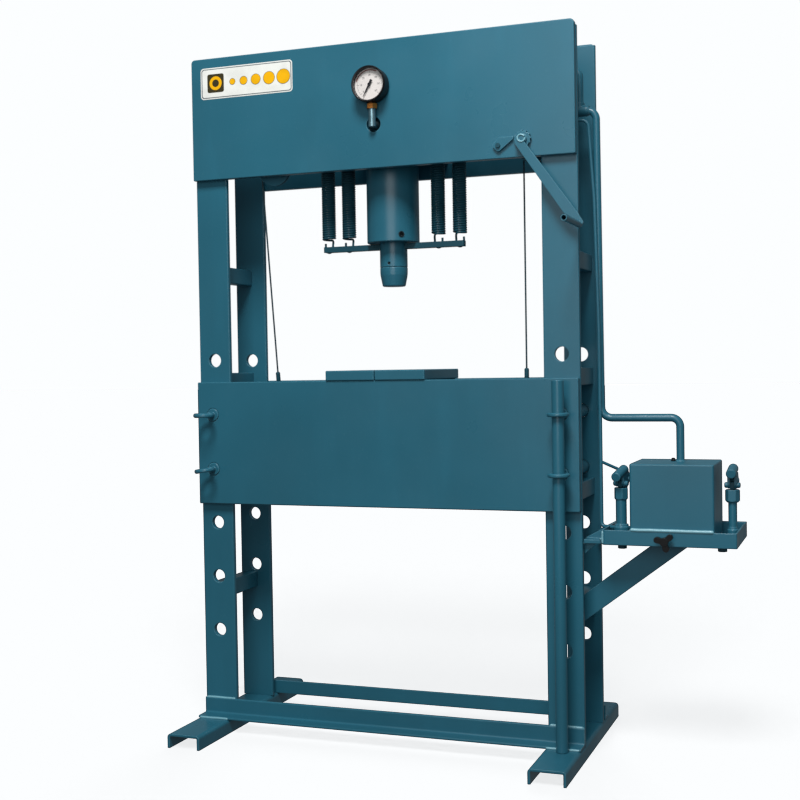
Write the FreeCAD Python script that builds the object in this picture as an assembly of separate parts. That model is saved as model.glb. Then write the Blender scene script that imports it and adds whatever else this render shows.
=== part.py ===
import FreeCAD, Part
import math
import os

from FreeCAD import Placement, Rotation, Vector

os.makedirs("parts", exist_ok=True)

# Hydraulic workshop press: an H frame of flat bars with an adjustable bed, a vertical ram with
# return springs, a cable winch for the bed, and a two-stage hand pump on a bracket at the right.
# Millimetres. X points right, Y to the back, Z up. The origin lies on the floor under the ram,
# half-way between the front and the rear bars. "Left" and "right" are the viewer's.

# ---------------------------------------------------------------- driving dimensions
HEIGHT = 1978.0
PLATE_HALF_WIDTH = 572.0
PLATE_THICKNESS = 20.0
TOP_PLATE_BOTTOM = 1624.0
REAR_PLATE_TRIM = 5.0
BED_BOTTOM = 672.5
BED_TOP = 1030.5

COLUMN_X = 523.5
COLUMN_HALF_DEPTH = 127.5
BAR_WIDTH = 100.0
BAR_THICKNESS = 15.0
BAR_TOP = 1966.0
BAR_EDGE_RADIUS = 3.0

HOLE_RADIUS = 20.0
LOWEST_HOLE = 294.5
HOLE_PITCH = 160.0
HOLE_COUNT = 6
BED_HOLE_LEVELS = (774.5, 934.5)

TIE_BOTTOMS = (384.0, 696.0, 1009.0, 1328.0)
TIE_X = 538.0
TIE_HEIGHT = 48.0
TIE_WIDTH = 40.0

FOOT_HEIGHT = 40.0
FOOT_WIDTH = 100.0
FOOT_WALL = 6.5
FOOT_FRONT = -355.0
FOOT_BACK = 340.0

CYLINDER_RADIUS = 76.0
CYLINDER_BOTTOM = 1426.0
CYLINDER_TOP = 1885.0
BORE_RADIUS = 50.0
RAM_RADIUS = 40.0
RAM_JOINT_LEVEL = 1355.0
NOSE_BOTTOM = 1301.0
RUNNING_GAP = 0.05

SPRING_BAR_BOTTOM = 1408.0
SPRING_BAR_HEIGHT = 16.0
SPRING_BAR_HALF_LENGTH = 217.0
SPRING_HANGER_HALF_LENGTH = 225.0
HANGER_BOTTOM = 1674.0
SPRING_CENTRES = (-203.0, -138.5, 138.5, 203.0)
SPRING_RADIUS = 17.7
SPRING_WIRE_RADIUS = 3.0
SPRING_TURNS = 28
SPRING_COIL_BOTTOM = 1446.0

GAUGE_X = 3.0
GAUGE_LEVEL = 1850.0
GAUGE_RADIUS = 50.0
GAUGE_PORT_LEVEL = 1745.0

WINCH_X = 431.0
WINCH_LEVEL = 1670.0
DRUM_CABLE_RADIUS = 38.0
CABLE_RADIUS = 2.5
LEFT_CABLE_X = -377.0

EYE_OFFSET = 3.5
EYE_Y = -195.0
EYE_RADIUS = 29.5
EYE_BAR = 11.0
LEVER_RADIUS = 16.2
LEVER_BORE_RADIUS = 13.2
LEVER_TOP = 1025.0

TRAY_LEFT = 625.0
TRAY_RIGHT = 975.0
TRAY_FRONT = -127.5
TRAY_BACK = 135.0
TRAY_BOTTOM = 586.0
TRAY_HEIGHT = 39.0
TRAY_SHEET = 4.0
TANK_LEFT = 700.0
TANK_RIGHT = 918.0
TANK_BACK = 65.0
TANK_TOP = 801.0
PUMP_Y = -40.0

# ---------------------------------------------------------------- derived places
PLATE_OUTSIDE = COLUMN_HALF_DEPTH + PLATE_THICKNESS
BAR_INSIDE = COLUMN_HALF_DEPTH - BAR_THICKNESS
HOLE_LEVELS = [LOWEST_HOLE + HOLE_PITCH * step for step in range(HOLE_COUNT)]
LEVER_X = COLUMN_X + EYE_OFFSET
TRAY_FLOOR = TRAY_BOTTOM + TRAY_SHEET
TRAY_TOP = TRAY_BOTTOM + TRAY_HEIGHT
X_AXIS = Vector(1, 0, 0)
Y_AXIS = Vector(0, 1, 0)
Z_AXIS = Vector(0, 0, 1)


# ---------------------------------------------------------------- shape helpers
def box(x_low, x_high, y_low, y_high, z_low, z_high):
    """Rectangular block between two opposite corners."""
    return Part.makeBox(x_high - x_low, y_high - y_low, z_high - z_low, Vector(x_low, y_low, z_low))


def rod(start, end, radius):
    """Round bar between two points."""
    along = end - start
    return Part.makeCylinder(radius, along.Length, start, along)


def corner_arc(before, corner, after, radius):
    """Start, middle and end of the arc that rounds one corner of a route."""
    to_before = (before - corner).normalize()
    to_after = (after - corner).normalize()
    half_angle = to_before.getAngle(to_after) / 2
    reach = radius / math.tan(half_angle)
    bisector = (to_before + to_after).normalize()
    middle = corner + bisector * (radius / math.sin(half_angle) - radius)
    return corner + to_before * reach, middle, corner + to_after * reach


def rounded_wire(points, radius, closed=False):
    """Straight runs through the points with a tangent arc at each corner; radius may be a list."""
    count = len(points)
    radii = radius if isinstance(radius, list) else [radius] * count
    corners = range(count) if closed else range(1, count - 1)
    arcs = {}
    for index in corners:
        if radii[index] > 0:
            following = points[(index + 1) % count]
            arcs[index] = corner_arc(points[index - 1], points[index], following, radii[index])
    edges = []
    for index in range(count if closed else count - 1):
        following = (index + 1) % count
        start = arcs[index][2] if index in arcs else points[index]
        end = arcs[following][0] if following in arcs else points[following]
        if start.distanceToPoint(end) > 0.001:
            edges.append(Part.LineSegment(start, end).toShape())
        if following in arcs:
            edges.append(Part.Arc(*arcs[following]).toShape())
    return Part.Wire(edges)


def plate_along_x(outline, radius, x_low, x_high):
    """Plate with a (y, z) outline and rounded corners, x_low to x_high."""
    points = [Vector(x_low, y, z) for y, z in outline]
    return Part.Face(rounded_wire(points, radius, closed=True)).extrude(Vector(x_high - x_low, 0, 0))


def plate_along_y(outline, radius, y_low, y_high):
    """Plate with an (x, z) outline and rounded corners, y_low to y_high."""
    points = [Vector(x, y_low, z) for x, z in outline]
    return Part.Face(rounded_wire(points, radius, closed=True)).extrude(Vector(0, y_high - y_low, 0))


def plate_along_z(outline, radius, z_low, z_high):
    """Plate with an (x, y) outline and rounded corners, z_low to z_high."""
    points = [Vector(x, y, z_low) for x, y in outline]
    return Part.Face(rounded_wire(points, radius, closed=True)).extrude(Vector(0, 0, z_high - z_low))


def rectangle(low_1, high_1, low_2, high_2):
    """Corners of a rectangle in the two directions of an outline."""
    return [(low_1, low_2), (high_1, low_2), (high_1, high_2), (low_1, high_2)]


def turned(profile, base, axis=Z_AXIS):
    """Solid of revolution: the profile holds (radius, height) points, measured from base along axis."""
    points = [Vector(radius, 0, height) for radius, height in profile]
    solid = Part.Face(Part.makePolygon(points + [points[0]])).revolve(Vector(), Z_AXIS, 360)
    solid.Placement = Placement(base, Rotation(Z_AXIS, axis))
    return solid


def hexagon_bar(across_flats, base, axis, length):
    """Hexagonal bar, such as a nut or a bolt head, from base along axis."""
    corner_radius = across_flats / math.sqrt(3)
    corners = []
    for step in range(6):
        angle = math.radians(60 * step)
        corners.append(Vector(corner_radius * math.cos(angle), corner_radius * math.sin(angle), 0))
    solid = Part.Face(Part.makePolygon(corners + [corners[0]])).extrude(Vector(0, 0, length))
    solid.Placement = Placement(base, Rotation(Z_AXIS, axis))
    return solid


def swept_tube(path, start, direction, radius):
    """Round bar along a smooth path; its volume is printed beside section times length."""
    ring = Part.Wire(Part.Circle(start, direction, radius).toShape())
    solid = path.makePipeShell([ring], True, False)
    expected = math.pi * radius**2 * path.Length
    print(f"tube of radius {radius}: volume {solid.Volume:.0f}, section times length {expected:.0f}")
    return solid


def bent_tube(points, bends, radius):
    """Round bar through the points, with a bend radius for each inner corner."""
    path = rounded_wire(points, [0] + bends + [0])
    return swept_tube(path, points[0], points[1] - points[0], radius)


def fused(first, *others):
    """One solid made from touching or overlapping shapes."""
    return first.fuse(list(others)).removeSplitter()


def softened(shape, axis_index, level, size):
    """Chamfer of the given size on every edge that lies in the plane where one coordinate is level."""
    edges = []
    for edge in shape.Edges:
        box_of_edge = edge.BoundBox
        low = (box_of_edge.XMin, box_of_edge.YMin, box_of_edge.ZMin)[axis_index]
        high = (box_of_edge.XMax, box_of_edge.YMax, box_of_edge.ZMax)[axis_index]
        if abs(low - level) < 0.01 and abs(high - level) < 0.01:
            edges.append(edge)
    return shape.makeChamfer(size, edges)


def mirrored_in_depth(shape):
    """The same piece on the other side of the plane Y = 0."""
    return shape.mirror(Vector(), Y_AXIS)


# ---------------------------------------------------------------- frame
def column_hole(x_centre, level, radius=HOLE_RADIUS):
    """Cutter for a pin hole from front to back."""
    return rod(Vector(x_centre, -200, level), Vector(x_centre, 200, level), radius)


def make_upright(side, depth_side):
    """Flat bar on edge of one column, with its row of pin holes."""
    x_centre = side * COLUMN_X
    y_low = min(depth_side * BAR_INSIDE, depth_side * COLUMN_HALF_DEPTH)
    outline = rectangle(x_centre - BAR_WIDTH / 2, x_centre + BAR_WIDTH / 2, y_low, y_low + BAR_THICKNESS)
    bar = plate_along_z(outline, BAR_EDGE_RADIUS, FOOT_HEIGHT, BAR_TOP)
    return bar.cut([column_hole(x_centre, level) for level in HOLE_LEVELS])


def make_top_plate(depth_side):
    """Deep plate across the tops of the columns; the front one has a hole for the gauge's branch."""
    trim, top_bend, bottom_bend = (0.0, 11.0, 3.0) if depth_side < 0 else (REAR_PLATE_TRIM, 8.0, 3.0)
    port_hole_x, port_hole_radius = 1.5, 21.0
    half_width = PLATE_HALF_WIDTH - trim
    outline = rectangle(-half_width, half_width, TOP_PLATE_BOTTOM, HEIGHT - trim)
    radii = [bottom_bend, bottom_bend, top_bend, top_bend]
    plate = plate_along_y(outline, radii, -PLATE_OUTSIDE, -COLUMN_HALF_DEPTH)
    plate = softened(plate, 1, -PLATE_OUTSIDE, 1.5)
    shaft_hole = column_hole(WINCH_X, WINCH_LEVEL, SHAFT_RADIUS + RUNNING_GAP)
    if depth_side < 0:
        return plate.cut([shaft_hole, column_hole(port_hole_x, GAUGE_PORT_LEVEL, port_hole_radius)])
    return mirrored_in_depth(plate).cut(shaft_hole)


def make_ties():
    """Cross bars that join the front and the rear bar of each column."""
    ties = []
    for side in (-1, 1):
        x_low = side * TIE_X - TIE_WIDTH / 2
        for bottom in TIE_BOTTOMS:
            outline = rectangle(x_low, x_low + TIE_WIDTH, bottom, bottom + TIE_HEIGHT)
            ties.append(plate_along_y(outline, 3.0, -BAR_INSIDE, BAR_INSIDE))
    return Part.makeCompound(ties)


def make_foot(side):
    """Inverted channel under one column."""
    x_centre = side * (COLUMN_X + 0.5)
    outer_bend, inner_bend = 10.0, 3.5
    half = FOOT_WIDTH / 2
    inner = half - FOOT_WALL
    outline = [
        (x_centre - half, 0),
        (x_centre - inner, 0),
        (x_centre - inner, FOOT_HEIGHT - FOOT_WALL),
        (x_centre + inner, FOOT_HEIGHT - FOOT_WALL),
        (x_centre + inner, 0),
        (x_centre + half, 0),
        (x_centre + half, FOOT_HEIGHT),
        (x_centre - half, FOOT_HEIGHT),
    ]
    radii = [0, 0, inner_bend, inner_bend, 0, 0, outer_bend, outer_bend]
    return plate_along_y(outline, radii, FOOT_FRONT, FOOT_BACK)


def make_base_beam(depth_side):
    """Steel angle between the feet: the front one against the bars, a smaller one behind them."""
    leg, behind_bars = (50.0, 0.0) if depth_side < 0 else (40.0, 24.0)
    wall = 6.0
    y_face = COLUMN_HALF_DEPTH + behind_bars
    z_low = FOOT_HEIGHT
    outline = [
        (y_face, z_low),
        (y_face + leg, z_low),
        (y_face + leg, z_low + wall),
        (y_face + wall, z_low + wall),
        (y_face + wall, z_low + leg),
        (y_face, z_low + leg),
    ]
    beam = plate_along_x(outline, [0, 0, 3, 5, 3, 0], -PLATE_HALF_WIDTH - 1, PLATE_HALF_WIDTH + 1)
    return beam if depth_side > 0 else mirrored_in_depth(beam)


# ---------------------------------------------------------------- bed, blocks and pins
CROSS_BAR_CENTRES = (-386.0, 0.0, 386.0)
CROSS_BAR_WIDTH = 40.0
CROSS_BAR_BOTTOM = 960.0
CROSS_BAR_TOP = 1000.0
LOWER_EYE_TURN = -8.0


def make_bed_plate(depth_side):
    """Deep plate of the bed, outside the bars, with the pin holes."""
    outline = rectangle(-PLATE_HALF_WIDTH, PLATE_HALF_WIDTH, BED_BOTTOM, BED_TOP)
    corner_radius = 3.0
    plate = plate_along_y(outline, corner_radius, -PLATE_OUTSIDE, -COLUMN_HALF_DEPTH)
    plate = softened(plate, 1, -PLATE_OUTSIDE, 1.5)
    holes = [column_hole(side * COLUMN_X, level) for side in (-1, 1) for level in BED_HOLE_LEVELS]
    plate = plate.cut(holes)
    return plate if depth_side < 0 else mirrored_in_depth(plate)


def make_cross_bars():
    """Square bars that hold the two bed plates apart; the cables hook into the outer two."""
    bars = []
    for x_centre in CROSS_BAR_CENTRES:
        x_low = x_centre - CROSS_BAR_WIDTH / 2
        outline = rectangle(x_low, x_low + CROSS_BAR_WIDTH, CROSS_BAR_BOTTOM, CROSS_BAR_TOP)
        bars.append(plate_along_y(outline, 4.0, -COLUMN_HALF_DEPTH, COLUMN_HALF_DEPTH))
    return Part.makeCompound(bars)


def make_press_block(x_low, x_high):
    """Loose steel block that lies across both bed plates."""
    block_height = 28.5
    block = box(x_low, x_high, -152, 157, BED_TOP, BED_TOP + block_height)
    return block.makeChamfer(2.0, block.Edges)


def make_pin(side, level, eye_turn):
    """Long pin through the bed and a column, with an eye of bent bar on its front end."""
    x_centre = side * COLUMN_X
    pin_radius, neck_radius = 19.0, 8.0
    front = -150.0
    length = 305.0
    profile = [
        (0, 0),
        (pin_radius - 2, 0),
        (pin_radius, 2),
        (pin_radius, length - 5),
        (pin_radius - 5, length),
        (0, length),
    ]
    shank = turned(profile, Vector(x_centre, front, level), Y_AXIS)
    eye_centre = Vector(x_centre + side * EYE_OFFSET, EYE_Y, level)
    inner, outer, half_height, bevel = EYE_RADIUS - EYE_BAR, EYE_RADIUS, EYE_BAR / 2, 2.8
    neck_front = EYE_Y + (inner + outer) / 2
    neck = rod(Vector(x_centre, neck_front, level), Vector(x_centre, front + 5, level), neck_radius)
    eye = turned(
        [
            (inner, -half_height + bevel),
            (inner + bevel, -half_height),
            (outer - bevel, -half_height),
            (outer, -half_height + bevel),
            (outer, half_height - bevel),
            (outer - bevel, half_height),
            (inner + bevel, half_height),
            (inner, half_height - bevel),
        ],
        eye_centre,
    )
    opening = rod(eye_centre - Z_AXIS * 20, eye_centre + Z_AXIS * 20, inner)
    pin = fused(shank, neck, eye).cut(opening)
    pin.rotate(Vector(x_centre, 0, level), Y_AXIS, eye_turn)
    return pin


def make_lever():
    """Pump lever: a plain pipe stored upright in the eyes of the right pins."""
    foot_gap = 0.3
    base = Vector(LEVER_X, EYE_Y, FOOT_HEIGHT + foot_gap)
    length = LEVER_TOP - base.z
    bevel = 1.0
    return turned(
        [
            (LEVER_BORE_RADIUS, 0),
            (LEVER_RADIUS - bevel, 0),
            (LEVER_RADIUS, bevel),
            (LEVER_RADIUS, length - bevel),
            (LEVER_RADIUS - bevel, length),
            (LEVER_BORE_RADIUS, length),
        ],
        base,
    )


# ---------------------------------------------------------------- cylinder and ram
GLAND_TOP = 1462.0
PISTON_BOTTOM = 1700.0
PISTON_TOP = 1740.0
PLUG_PLACE = Vector(47.0, -59.7, 1445.0)
PLUG_RADIUS = 8.8
PLUG_DEPTH = 8.0
NOSE_GROOVE = 1.6
GRUB_LEVEL = 1366.0
GRUB_RADIUS = 4.5
SPRING_BAR_HALF_DEPTH = 12.0
HOOK_HALF_WIDTH = 11.5
SADDLE_HALF_LENGTH = 130.0
SADDLE_THICKNESS = 16.0
UPPER_SADDLE_BOTTOM = 1785.0


def make_cylinder():
    """Cylinder barrel with its bore open at both ends and a hole for the small side plug."""
    bevel = 2.0
    height = CYLINDER_TOP - CYLINDER_BOTTOM
    barrel = turned(
        [
            (BORE_RADIUS, 0),
            (CYLINDER_RADIUS - bevel, 0),
            (CYLINDER_RADIUS, bevel),
            (CYLINDER_RADIUS, height),
            (BORE_RADIUS, height),
        ],
        Vector(0, 0, CYLINDER_BOTTOM),
    )
    outward = Vector(PLUG_PLACE.x, PLUG_PLACE.y, 0).normalize()
    return barrel.cut(rod(PLUG_PLACE - outward * PLUG_DEPTH, PLUG_PLACE + outward * PLUG_DEPTH, PLUG_RADIUS))


def barrel_room():
    """Cutter that trims a pipe to the outside of the barrel and its head."""
    return rod(Vector(0, 0, CYLINDER_BOTTOM), Vector(0, 0, CYLINDER_TOP + 50), CYLINDER_RADIUS + RUNNING_GAP)


def make_cylinder_plug():
    """Round socket-head plug, a little proud of the barrel."""
    outward = Vector(PLUG_PLACE.x, PLUG_PLACE.y, 0).normalize()
    proud, socket_flats, socket_depth = 1.0, 10.0, 6.0
    plug = rod(PLUG_PLACE - outward * PLUG_DEPTH, PLUG_PLACE + outward * proud, PLUG_RADIUS)
    socket = hexagon_bar(socket_flats, PLUG_PLACE - outward * socket_depth, outward, 2 * socket_depth)
    return plug.cut(socket)


def make_cylinder_head():
    """Cap that closes the top of the barrel, with a spigot in the bore."""
    spigot, cap = 15.0, 24.0
    return turned(
        [
            (0, -spigot),
            (BORE_RADIUS, -spigot),
            (BORE_RADIUS, 0),
            (CYLINDER_RADIUS, 0),
            (CYLINDER_RADIUS, cap - 4),
            (CYLINDER_RADIUS - 4, cap),
            (0, cap),
        ],
        Vector(0, 0, CYLINDER_TOP),
    )


def make_gland():
    """Bush in the foot of the barrel that guides the ram."""
    bore = RAM_RADIUS + RUNNING_GAP
    height = GLAND_TOP - CYLINDER_BOTTOM
    profile = [(bore, 0), (BORE_RADIUS, 0), (BORE_RADIUS, height), (bore, height)]
    return turned(profile, Vector(0, 0, CYLINDER_BOTTOM))


def make_saddles():
    """Two cross plates between the top plates; they hold the barrel, the lower one the springs too."""
    half = SADDLE_HALF_LENGTH
    outline = rectangle(-half, half, -COLUMN_HALF_DEPTH, COLUMN_HALF_DEPTH)
    barrel = rod(Vector(0, 0, CYLINDER_BOTTOM), Vector(0, 0, CYLINDER_TOP), CYLINDER_RADIUS)
    upper = plate_along_z(outline, 0, UPPER_SADDLE_BOTTOM, UPPER_SADDLE_BOTTOM + SADDLE_THICKNESS)
    lower = plate_along_z(outline, 0, HANGER_BOTTOM, HANGER_BOTTOM + SPRING_BAR_HEIGHT)
    hangers = make_slotted_bar(SPRING_HANGER_HALF_LENGTH, HANGER_BOTTOM, 1)
    room = rod(Vector(0, 0, HANGER_BOTTOM), Vector(0, 0, HANGER_BOTTOM + SPRING_BAR_HEIGHT), CYLINDER_RADIUS)
    lower = cut_slots(lower, HANGER_BOTTOM).fuse(hangers.cut(room)).removeSplitter()
    return Part.makeCompound([lower.cut(barrel), upper.cut(barrel)])


def make_ram():
    """Ram with its piston, slotted for the spring bar and drilled for the nose's grub screw."""
    piston_radius = BORE_RADIUS - RUNNING_GAP
    bevel = 2.0
    ram = turned(
        [
            (0, RAM_JOINT_LEVEL + NOSE_GROOVE),
            (RAM_RADIUS, RAM_JOINT_LEVEL + NOSE_GROOVE),
            (RAM_RADIUS, PISTON_BOTTOM),
            (piston_radius - bevel, PISTON_BOTTOM),
            (piston_radius, PISTON_BOTTOM + bevel),
            (piston_radius, PISTON_TOP - bevel),
            (piston_radius - bevel, PISTON_TOP),
            (0, PISTON_TOP),
        ],
        Vector(),
    )
    half_depth = SPRING_BAR_HALF_DEPTH
    slot = box(-50, 50, -half_depth, half_depth, SPRING_BAR_BOTTOM, SPRING_BAR_BOTTOM + SPRING_BAR_HEIGHT)
    recess = rod(Vector(0, -45, GRUB_LEVEL), Vector(0, -33, GRUB_LEVEL), GRUB_RADIUS)
    return ram.cut([slot, recess])


def make_ram_nose():
    """Removable nose below a fine groove, tapering to a flat face."""
    flat_radius = 31.5
    height = RAM_JOINT_LEVEL - NOSE_BOTTOM
    return turned(
        [
            (0, 0),
            (flat_radius, 0),
            (flat_radius + 2, 2),
            (37.5, 22),
            (39.4, 32),
            (RAM_RADIUS, 42),
            (RAM_RADIUS, height - 0.5),
            (RAM_RADIUS - 2, height),
            (RAM_RADIUS - 2, height + NOSE_GROOVE),
            (0, height + NOSE_GROOVE),
        ],
        Vector(0, 0, NOSE_BOTTOM),
    )


def cut_slots(bar, z_low):
    """The bar with a slot right through its height for each spring hook."""
    half_length = HOOK_HALF_WIDTH + SPRING_WIRE_RADIUS + 0.5
    half_depth = SPRING_WIRE_RADIUS + 0.5
    z_high = z_low + SPRING_BAR_HEIGHT
    slots = []
    for x_centre in SPRING_CENTRES:
        x_low = x_centre - half_length
        slots.append(box(x_low, x_low + 2 * half_length, -half_depth, half_depth, z_low, z_high))
    return bar.cut(slots)


def make_slotted_bar(half_length, z_low, hook_side):
    """Flat bar with a slot and a cross pin per spring; hook_side is +1 where the hooks bend on top."""
    outline = rectangle(-half_length, half_length, -SPRING_BAR_HALF_DEPTH, SPRING_BAR_HALF_DEPTH)
    bar = plate_along_z(outline, 4.0, z_low, z_low + SPRING_BAR_HEIGHT)
    bar = cut_slots(bar, z_low)
    pin_radius = 4.0
    pin_level = z_low + SPRING_BAR_HEIGHT / 2 + hook_side * 0.7
    pin_reach = Vector(0, SPRING_WIRE_RADIUS + 3, 0)
    pins = []
    for x_centre in SPRING_CENTRES:
        middle = Vector(x_centre, 0, pin_level)
        pins.append(rod(middle - pin_reach, middle + pin_reach, pin_radius))
    return fused(bar, *pins)


def make_spring_bar():
    """Bar through the ram that the return springs pull up."""
    return make_slotted_bar(SPRING_BAR_HALF_LENGTH, SPRING_BAR_BOTTOM, -1)


# ---------------------------------------------------------------- return springs
def arc_leaving(start, tangent, end):
    """Arc from start to end that leaves start along the tangent."""
    chord = end - start
    bend = tangent.getAngle(chord)
    if bend < 0.0001:
        return Part.LineSegment(start, end).toShape()
    outward = tangent - chord * (tangent.dot(chord) / chord.dot(chord))
    rise = chord.Length / 2 * math.tan(bend / 2)
    middle = (start + end) * 0.5 + outward.normalize() * rise
    return Part.Arc(start, middle, end).toShape()


def biarc(start, start_tangent, end, end_tangent):
    """Two arcs that join two points with the given unit tangents, smooth where they meet."""
    chord = end - start
    total = start_tangent + end_tangent
    across = 2 * (1 - start_tangent.dot(end_tangent))
    along = chord.dot(total)
    reach = (math.sqrt(along**2 + across * chord.dot(chord)) - along) / across
    joint = (start + end + (start_tangent - end_tangent) * reach) * 0.5
    first = arc_leaving(start, start_tangent, joint)
    second = arc_leaving(end, end_tangent * -1, joint)
    return [first, second]


def helix_point(turn, radius, pitch):
    """Point and unit tangent of a right-hand helix after the given number of turns from the front."""
    angle = 2 * math.pi * turn - math.pi / 2
    point = Vector(radius * math.cos(angle), radius * math.sin(angle), pitch * turn)
    tangent = Vector(-radius * math.sin(angle), radius * math.cos(angle), pitch / (2 * math.pi))
    return point, tangent.normalize()


def hook_edges(coil_point, coil_tangent, side, direction, bar_middle):
    """Hook from the coil's end: over to the vertical through the bar, round its pin and back out."""
    half = HOOK_HALF_WIDTH
    first_leg = Vector(side * half, 0, coil_point.z + direction * 20)
    turn_level = bar_middle + direction * (SPRING_BAR_HEIGHT / 2 - half + 0.1)
    first_low = Vector(side * half, 0, turn_level)
    bottom = Vector(0, 0, turn_level + direction * half)
    second_low = Vector(-side * half, 0, turn_level)
    tip = Vector(-side * half, 0, bar_middle - direction * 19)
    shoulder = half * math.sqrt(0.5)
    edges = biarc(coil_point, coil_tangent, first_leg, Vector(0, 0, direction))
    edges.append(Part.LineSegment(first_leg, first_low).toShape())
    near_middle = Vector(side * shoulder, 0, turn_level + direction * shoulder)
    far_middle = Vector(-side * shoulder, 0, turn_level + direction * shoulder)
    edges.append(Part.Arc(first_low, near_middle, bottom).toShape())
    edges.append(Part.Arc(bottom, far_middle, second_low).toShape())
    edges.append(Part.LineSegment(second_low, tip).toShape())
    return edges, tip


def make_spring():
    """One return spring on the axis X = Y = 0: hook, coil and hook in one unbroken wire."""
    lower_middle = SPRING_BAR_BOTTOM + SPRING_BAR_HEIGHT / 2
    upper_middle = HANGER_BOTTOM + SPRING_BAR_HEIGHT / 2
    coil_height = lower_middle + upper_middle - 2 * SPRING_COIL_BOTTOM
    pitch = coil_height / SPRING_TURNS
    lift = Vector(0, 0, SPRING_COIL_BOTTOM)
    steps_per_turn = 4
    start, start_tangent = helix_point(0, SPRING_RADIUS, pitch)
    lower_hook, lower_tip = hook_edges(start + lift, start_tangent * -1, -1, -1, lower_middle)
    coil = []
    for step in range(SPRING_TURNS * steps_per_turn):
        here, tangent_here = helix_point(step / steps_per_turn, SPRING_RADIUS, pitch)
        following, tangent_following = helix_point((step + 1) / steps_per_turn, SPRING_RADIUS, pitch)
        coil += biarc(here + lift, tangent_here, following + lift, tangent_following)
    end, end_tangent = helix_point(SPRING_TURNS, SPRING_RADIUS, pitch)
    upper_hook, upper_tip = hook_edges(end + lift, end_tangent, 1, 1, upper_middle)
    path = Part.Wire(Part.__sortEdges__(lower_hook + coil + upper_hook))
    print_self_gap(path)
    return swept_tube(path, lower_tip, Z_AXIS, SPRING_WIRE_RADIUS)


def print_self_gap(path):
    """Least gap between parts of the wire that are more than a third of a turn apart."""
    spacing = 2.5
    points = path.discretize(Distance=spacing)
    apart = int(2 * math.pi * SPRING_RADIUS / 3 / spacing)
    closest = min(
        points[first].distanceToPoint(points[second])
        for first in range(len(points))
        for second in range(first + apart, min(first + 8 * apart, len(points)))
    )
    print(f"spring: least self-gap {closest - 2 * SPRING_WIRE_RADIUS:.2f} mm")


def place_spring(spring, x_centre):
    """Copy of the spring on its axis; the left ones are turned so that each hook faces the ram."""
    placed = spring.copy()
    if x_centre < 0:
        placed.rotate(Vector(), Z_AXIS, 180)
    placed.translate(Vector(x_centre, 0, 0))
    return placed


# ---------------------------------------------------------------- gauge
GAUGE_CENTRE = Vector(GAUGE_X, 0, GAUGE_LEVEL)
GAUGE_BACK = -151.0
GAUGE_STEM_Y = -162.0
GAUGE_NUT_BOTTOM = 1785.0
GAUGE_NUT_TOP = 1799.5
DIAL_DEPTH = 24.0
DIAL_RADIUS = 44.5
GLASS_DEPTH = 35.5
NEEDLE_DEPTH = 29.0
NEEDLE_TURN = 29.4
FRONTWARD = Vector(0, -1, 0)


def gauge_point(y):
    """Point on the gauge's axis."""
    return Vector(GAUGE_X, y, GAUGE_LEVEL)


def make_gauge_case():
    """Round gauge case, open to the front, with the ring round its glass and its socket below."""
    wall_radius, rear_bevel = 49.0, 3.0
    ring_back, ring_front = GLASS_DEPTH - 1.5, GLASS_DEPTH + 4.5
    socket_radius = 9.0
    case = turned(
        [
            (0, 0),
            (wall_radius - rear_bevel, 0),
            (wall_radius, rear_bevel),
            (wall_radius, ring_back),
            (GAUGE_RADIUS, ring_back),
            (GAUGE_RADIUS, ring_front - 2),
            (GAUGE_RADIUS - 2, ring_front),
            (DIAL_RADIUS, ring_front - 1),
            (DIAL_RADIUS, DIAL_DEPTH),
            (0, DIAL_DEPTH),
        ],
        gauge_point(GAUGE_BACK),
        FRONTWARD,
    )
    socket_top = Vector(GAUGE_X, GAUGE_STEM_Y, GAUGE_LEVEL - wall_radius + 4)
    socket = rod(Vector(GAUGE_X, GAUGE_STEM_Y, GAUGE_NUT_TOP), socket_top, socket_radius)
    return fused(case, socket)


def make_gauge_dial():
    """Dial plate on the case's floor."""
    radius, thickness = DIAL_RADIUS - 0.1, 1.0
    profile = [(0, 0), (radius, 0), (radius, thickness), (0, thickness)]
    return turned(profile, gauge_point(GAUGE_BACK - DIAL_DEPTH), FRONTWARD)


def make_gauge_needle():
    """Pointer with a thick tail and a hub, resting near the dial's lower left."""
    y_back = GAUGE_BACK - NEEDLE_DEPTH
    thickness, hub_radius = 1.2, 4.0
    outline = [(-3.6, -14), (3.6, -14), (2.4, 4), (0.6, 38), (-0.6, 38), (-2.4, 4)]
    points = [(GAUGE_X + x, GAUGE_LEVEL + z) for x, z in outline]
    blade = plate_along_y(points, 0, y_back - thickness, y_back)
    hub = rod(gauge_point(y_back + 2), gauge_point(y_back - 2.5), hub_radius)
    needle = fused(blade, hub)
    needle.rotate(GAUGE_CENTRE, Y_AXIS, 180 + NEEDLE_TURN)
    return needle


def make_gauge_glass():
    """Clear disc in front of the dial."""
    radius, thickness = DIAL_RADIUS - 0.1, 1.5
    profile = [(0, 0), (radius, 0), (radius, thickness), (0, thickness)]
    return turned(profile, gauge_point(GAUGE_BACK - GLASS_DEPTH), FRONTWARD)


def make_gauge_nut():
    """Brass union nut under the gauge."""
    across_flats, bevel = 27.0, 1.6
    length = GAUGE_NUT_TOP - GAUGE_NUT_BOTTOM
    corner_radius = across_flats / math.sqrt(3)
    base = Vector(GAUGE_X, GAUGE_STEM_Y, GAUGE_NUT_BOTTOM)
    nut = hexagon_bar(across_flats, base, Z_AXIS, length)
    envelope = turned(
        [
            (0, 0),
            (corner_radius - bevel, 0),
            (corner_radius, bevel),
            (corner_radius, length - bevel),
            (corner_radius - bevel, length),
            (0, length),
        ],
        base,
    )
    return nut.common(envelope)


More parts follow.
